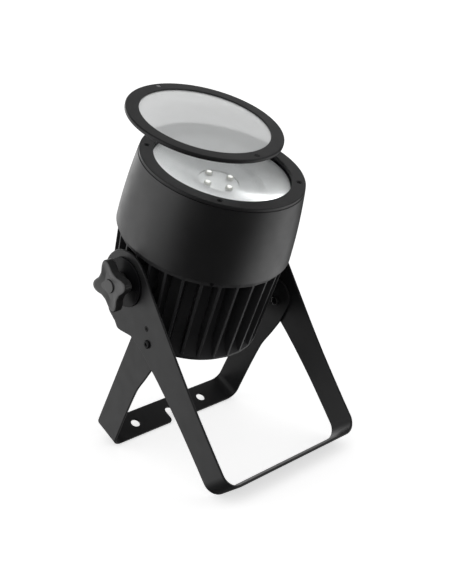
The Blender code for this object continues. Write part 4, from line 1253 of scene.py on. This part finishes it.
def pale_floor(tree):
    """Pale paper. Seen in reflections it is darker, as a studio's floor in shade is."""
    lift = add_node(tree, "Emission", {"Strength": FLOOR_LIFT})
    seen = add_node(tree, "AddShader", {0: grey_diffuse(tree, 0.86), 1: lift})
    in_view = light_path(tree, "Is Camera Ray", "Is Transmission Ray")
    return mix_shaders(tree, in_view, grey_diffuse(tree, 0.20), seen)


def half_clear(tree):
    return mix_shaders(tree, 0.4, grey_diffuse(tree, 0.01), clear(tree))


def build_floor():
    shape = bmesh.new()
    bmesh.ops.create_grid(shape, x_segments=1, y_segments=1, size=30.0)
    material = new_material("pale_floor", pale_floor)
    floor = add_object("studio_floor", shape, material=material)
    floor.visible_glossy = False


def build_card():
    """A dark card between the legs. Only reflections see it: it keeps the far legs darker."""
    shape = bmesh.new()
    shape.faces.new([shape.verts.new(corner) for corner in CARD_CORNERS])
    card = add_object("dark_card", shape, material=new_material("dark_card", half_clear))
    for ray in ("camera", "diffuse", "shadow", "transmission"):
        setattr(card, f"visible_{ray}", False)


def soft_patch(tree, direction, inner, outer, strength):
    """Brightness of a round soft light in the surroundings, around a direction."""
    ray = add_node(tree, "TexCoord", out="Generated")
    aim = tuple(Vector(direction).normalized())
    facing = add_node(tree, "VectorMath", {0: ray, 1: aim}, "Value", operation="DOT_PRODUCT")
    edges = [cos(radians(angle)) for angle in (outer, inner)]
    return spread(tree, facing, 0.0, strength, *edges, interpolation_type="SMOOTHSTEP")


def build_world():
    """Even white light for the floor, and soft boxes round a dark studio in reflections."""
    world = bpy.data.worlds.new("studio")
    bpy.context.scene.world = world
    tree = new_tree(world)
    world.cycles.sampling_method = "NONE"
    total = REFLECTED_BASE
    for light in REFLECTED_LIGHTS:
        total = add_node(tree, "Math", {0: soft_patch(tree, *light), 1: total}, operation="ADD")
    fill = spread(tree, light_path(tree, "Is Camera Ray"), WORLD_STRENGTH, 1.0, 0.0, 1.0)
    even, boxes = (
        add_node(tree, "Background", {"Color": (1, 1, 1, 1), "Strength": strength})
        for strength in (fill, total)
    )
    shader = mix_shaders(tree, light_path(tree, "Is Glossy Ray"), even, boxes)
    set_surface(tree, shader, "OutputWorld")


def aim_matrix(position, target, roll=0.0):
    """A camera or lamp at `position` that looks at `target`."""
    back = (Vector(position) - Vector(target)).normalized()
    right = Vector((0, 0, 1)).cross(back).normalized()
    turn = Matrix((right, back.cross(right), back)).transposed().to_4x4()
    return Matrix.Translation(Vector(position)) @ turn @ Matrix.Rotation(roll, 4, "Z")


def add_softbox(name, position, size, power, nodes):
    """A square lamp whose light falls only on the pieces that stand for some nodes."""
    lamp = bpy.data.lights.new(name, "AREA")
    lamp.shape = "SQUARE"
    lamp.size = size
    lamp.energy = power
    box = new_object(name, lamp)
    box.matrix_world = aim_matrix(position, SOFTBOX_TARGET)
    lit = bpy.data.collections.new(f"{name}_targets")
    for node in nodes:
        lit.objects.link(bpy.data.objects[f"{node}_fine"])
    box.light_linking.receiver_collection = lit


def build_camera():
    turn = Matrix.Rotation(CAMERA_AZIMUTH, 3, "Z") @ Matrix.Rotation(-CAMERA_ELEVATION, 3, "X")
    target = Vector(CAMERA_TARGET)
    position = target + turn @ Vector((0, -CAMERA_DISTANCE, 0))
    data = bpy.data.cameras.new("camera")
    data.lens = CAMERA_LENS
    data.sensor_width = SENSOR
    camera = new_object("camera", data)
    camera.matrix_world = aim_matrix(position, target, CAMERA_ROLL)
    bpy.context.scene.camera = camera


# --- Assembly ---


build_barrel()
build_bezel()
build_reflector()
build_light_engine()
build_heat_sink()
build_rear_cover()
build_controls()
for socket_node in SOCKETS:
    build_socket(socket_node)
build_vent_and_eye()
for board_node in BOARDS:
    stand_for(board_node, cad_copy(board_node, 0.0004))
build_brackets()
for side_name, side_sign in SIDES:
    build_clamp(side_name, HEAD @ sideways(side_sign))
build_filter()

build_floor()
build_card()
build_world()
for box_name, settings in SOFTBOXES.items():
    add_softbox(box_name, *settings)
build_camera()
bpy.context.scene.view_settings.view_transform = "Standard"
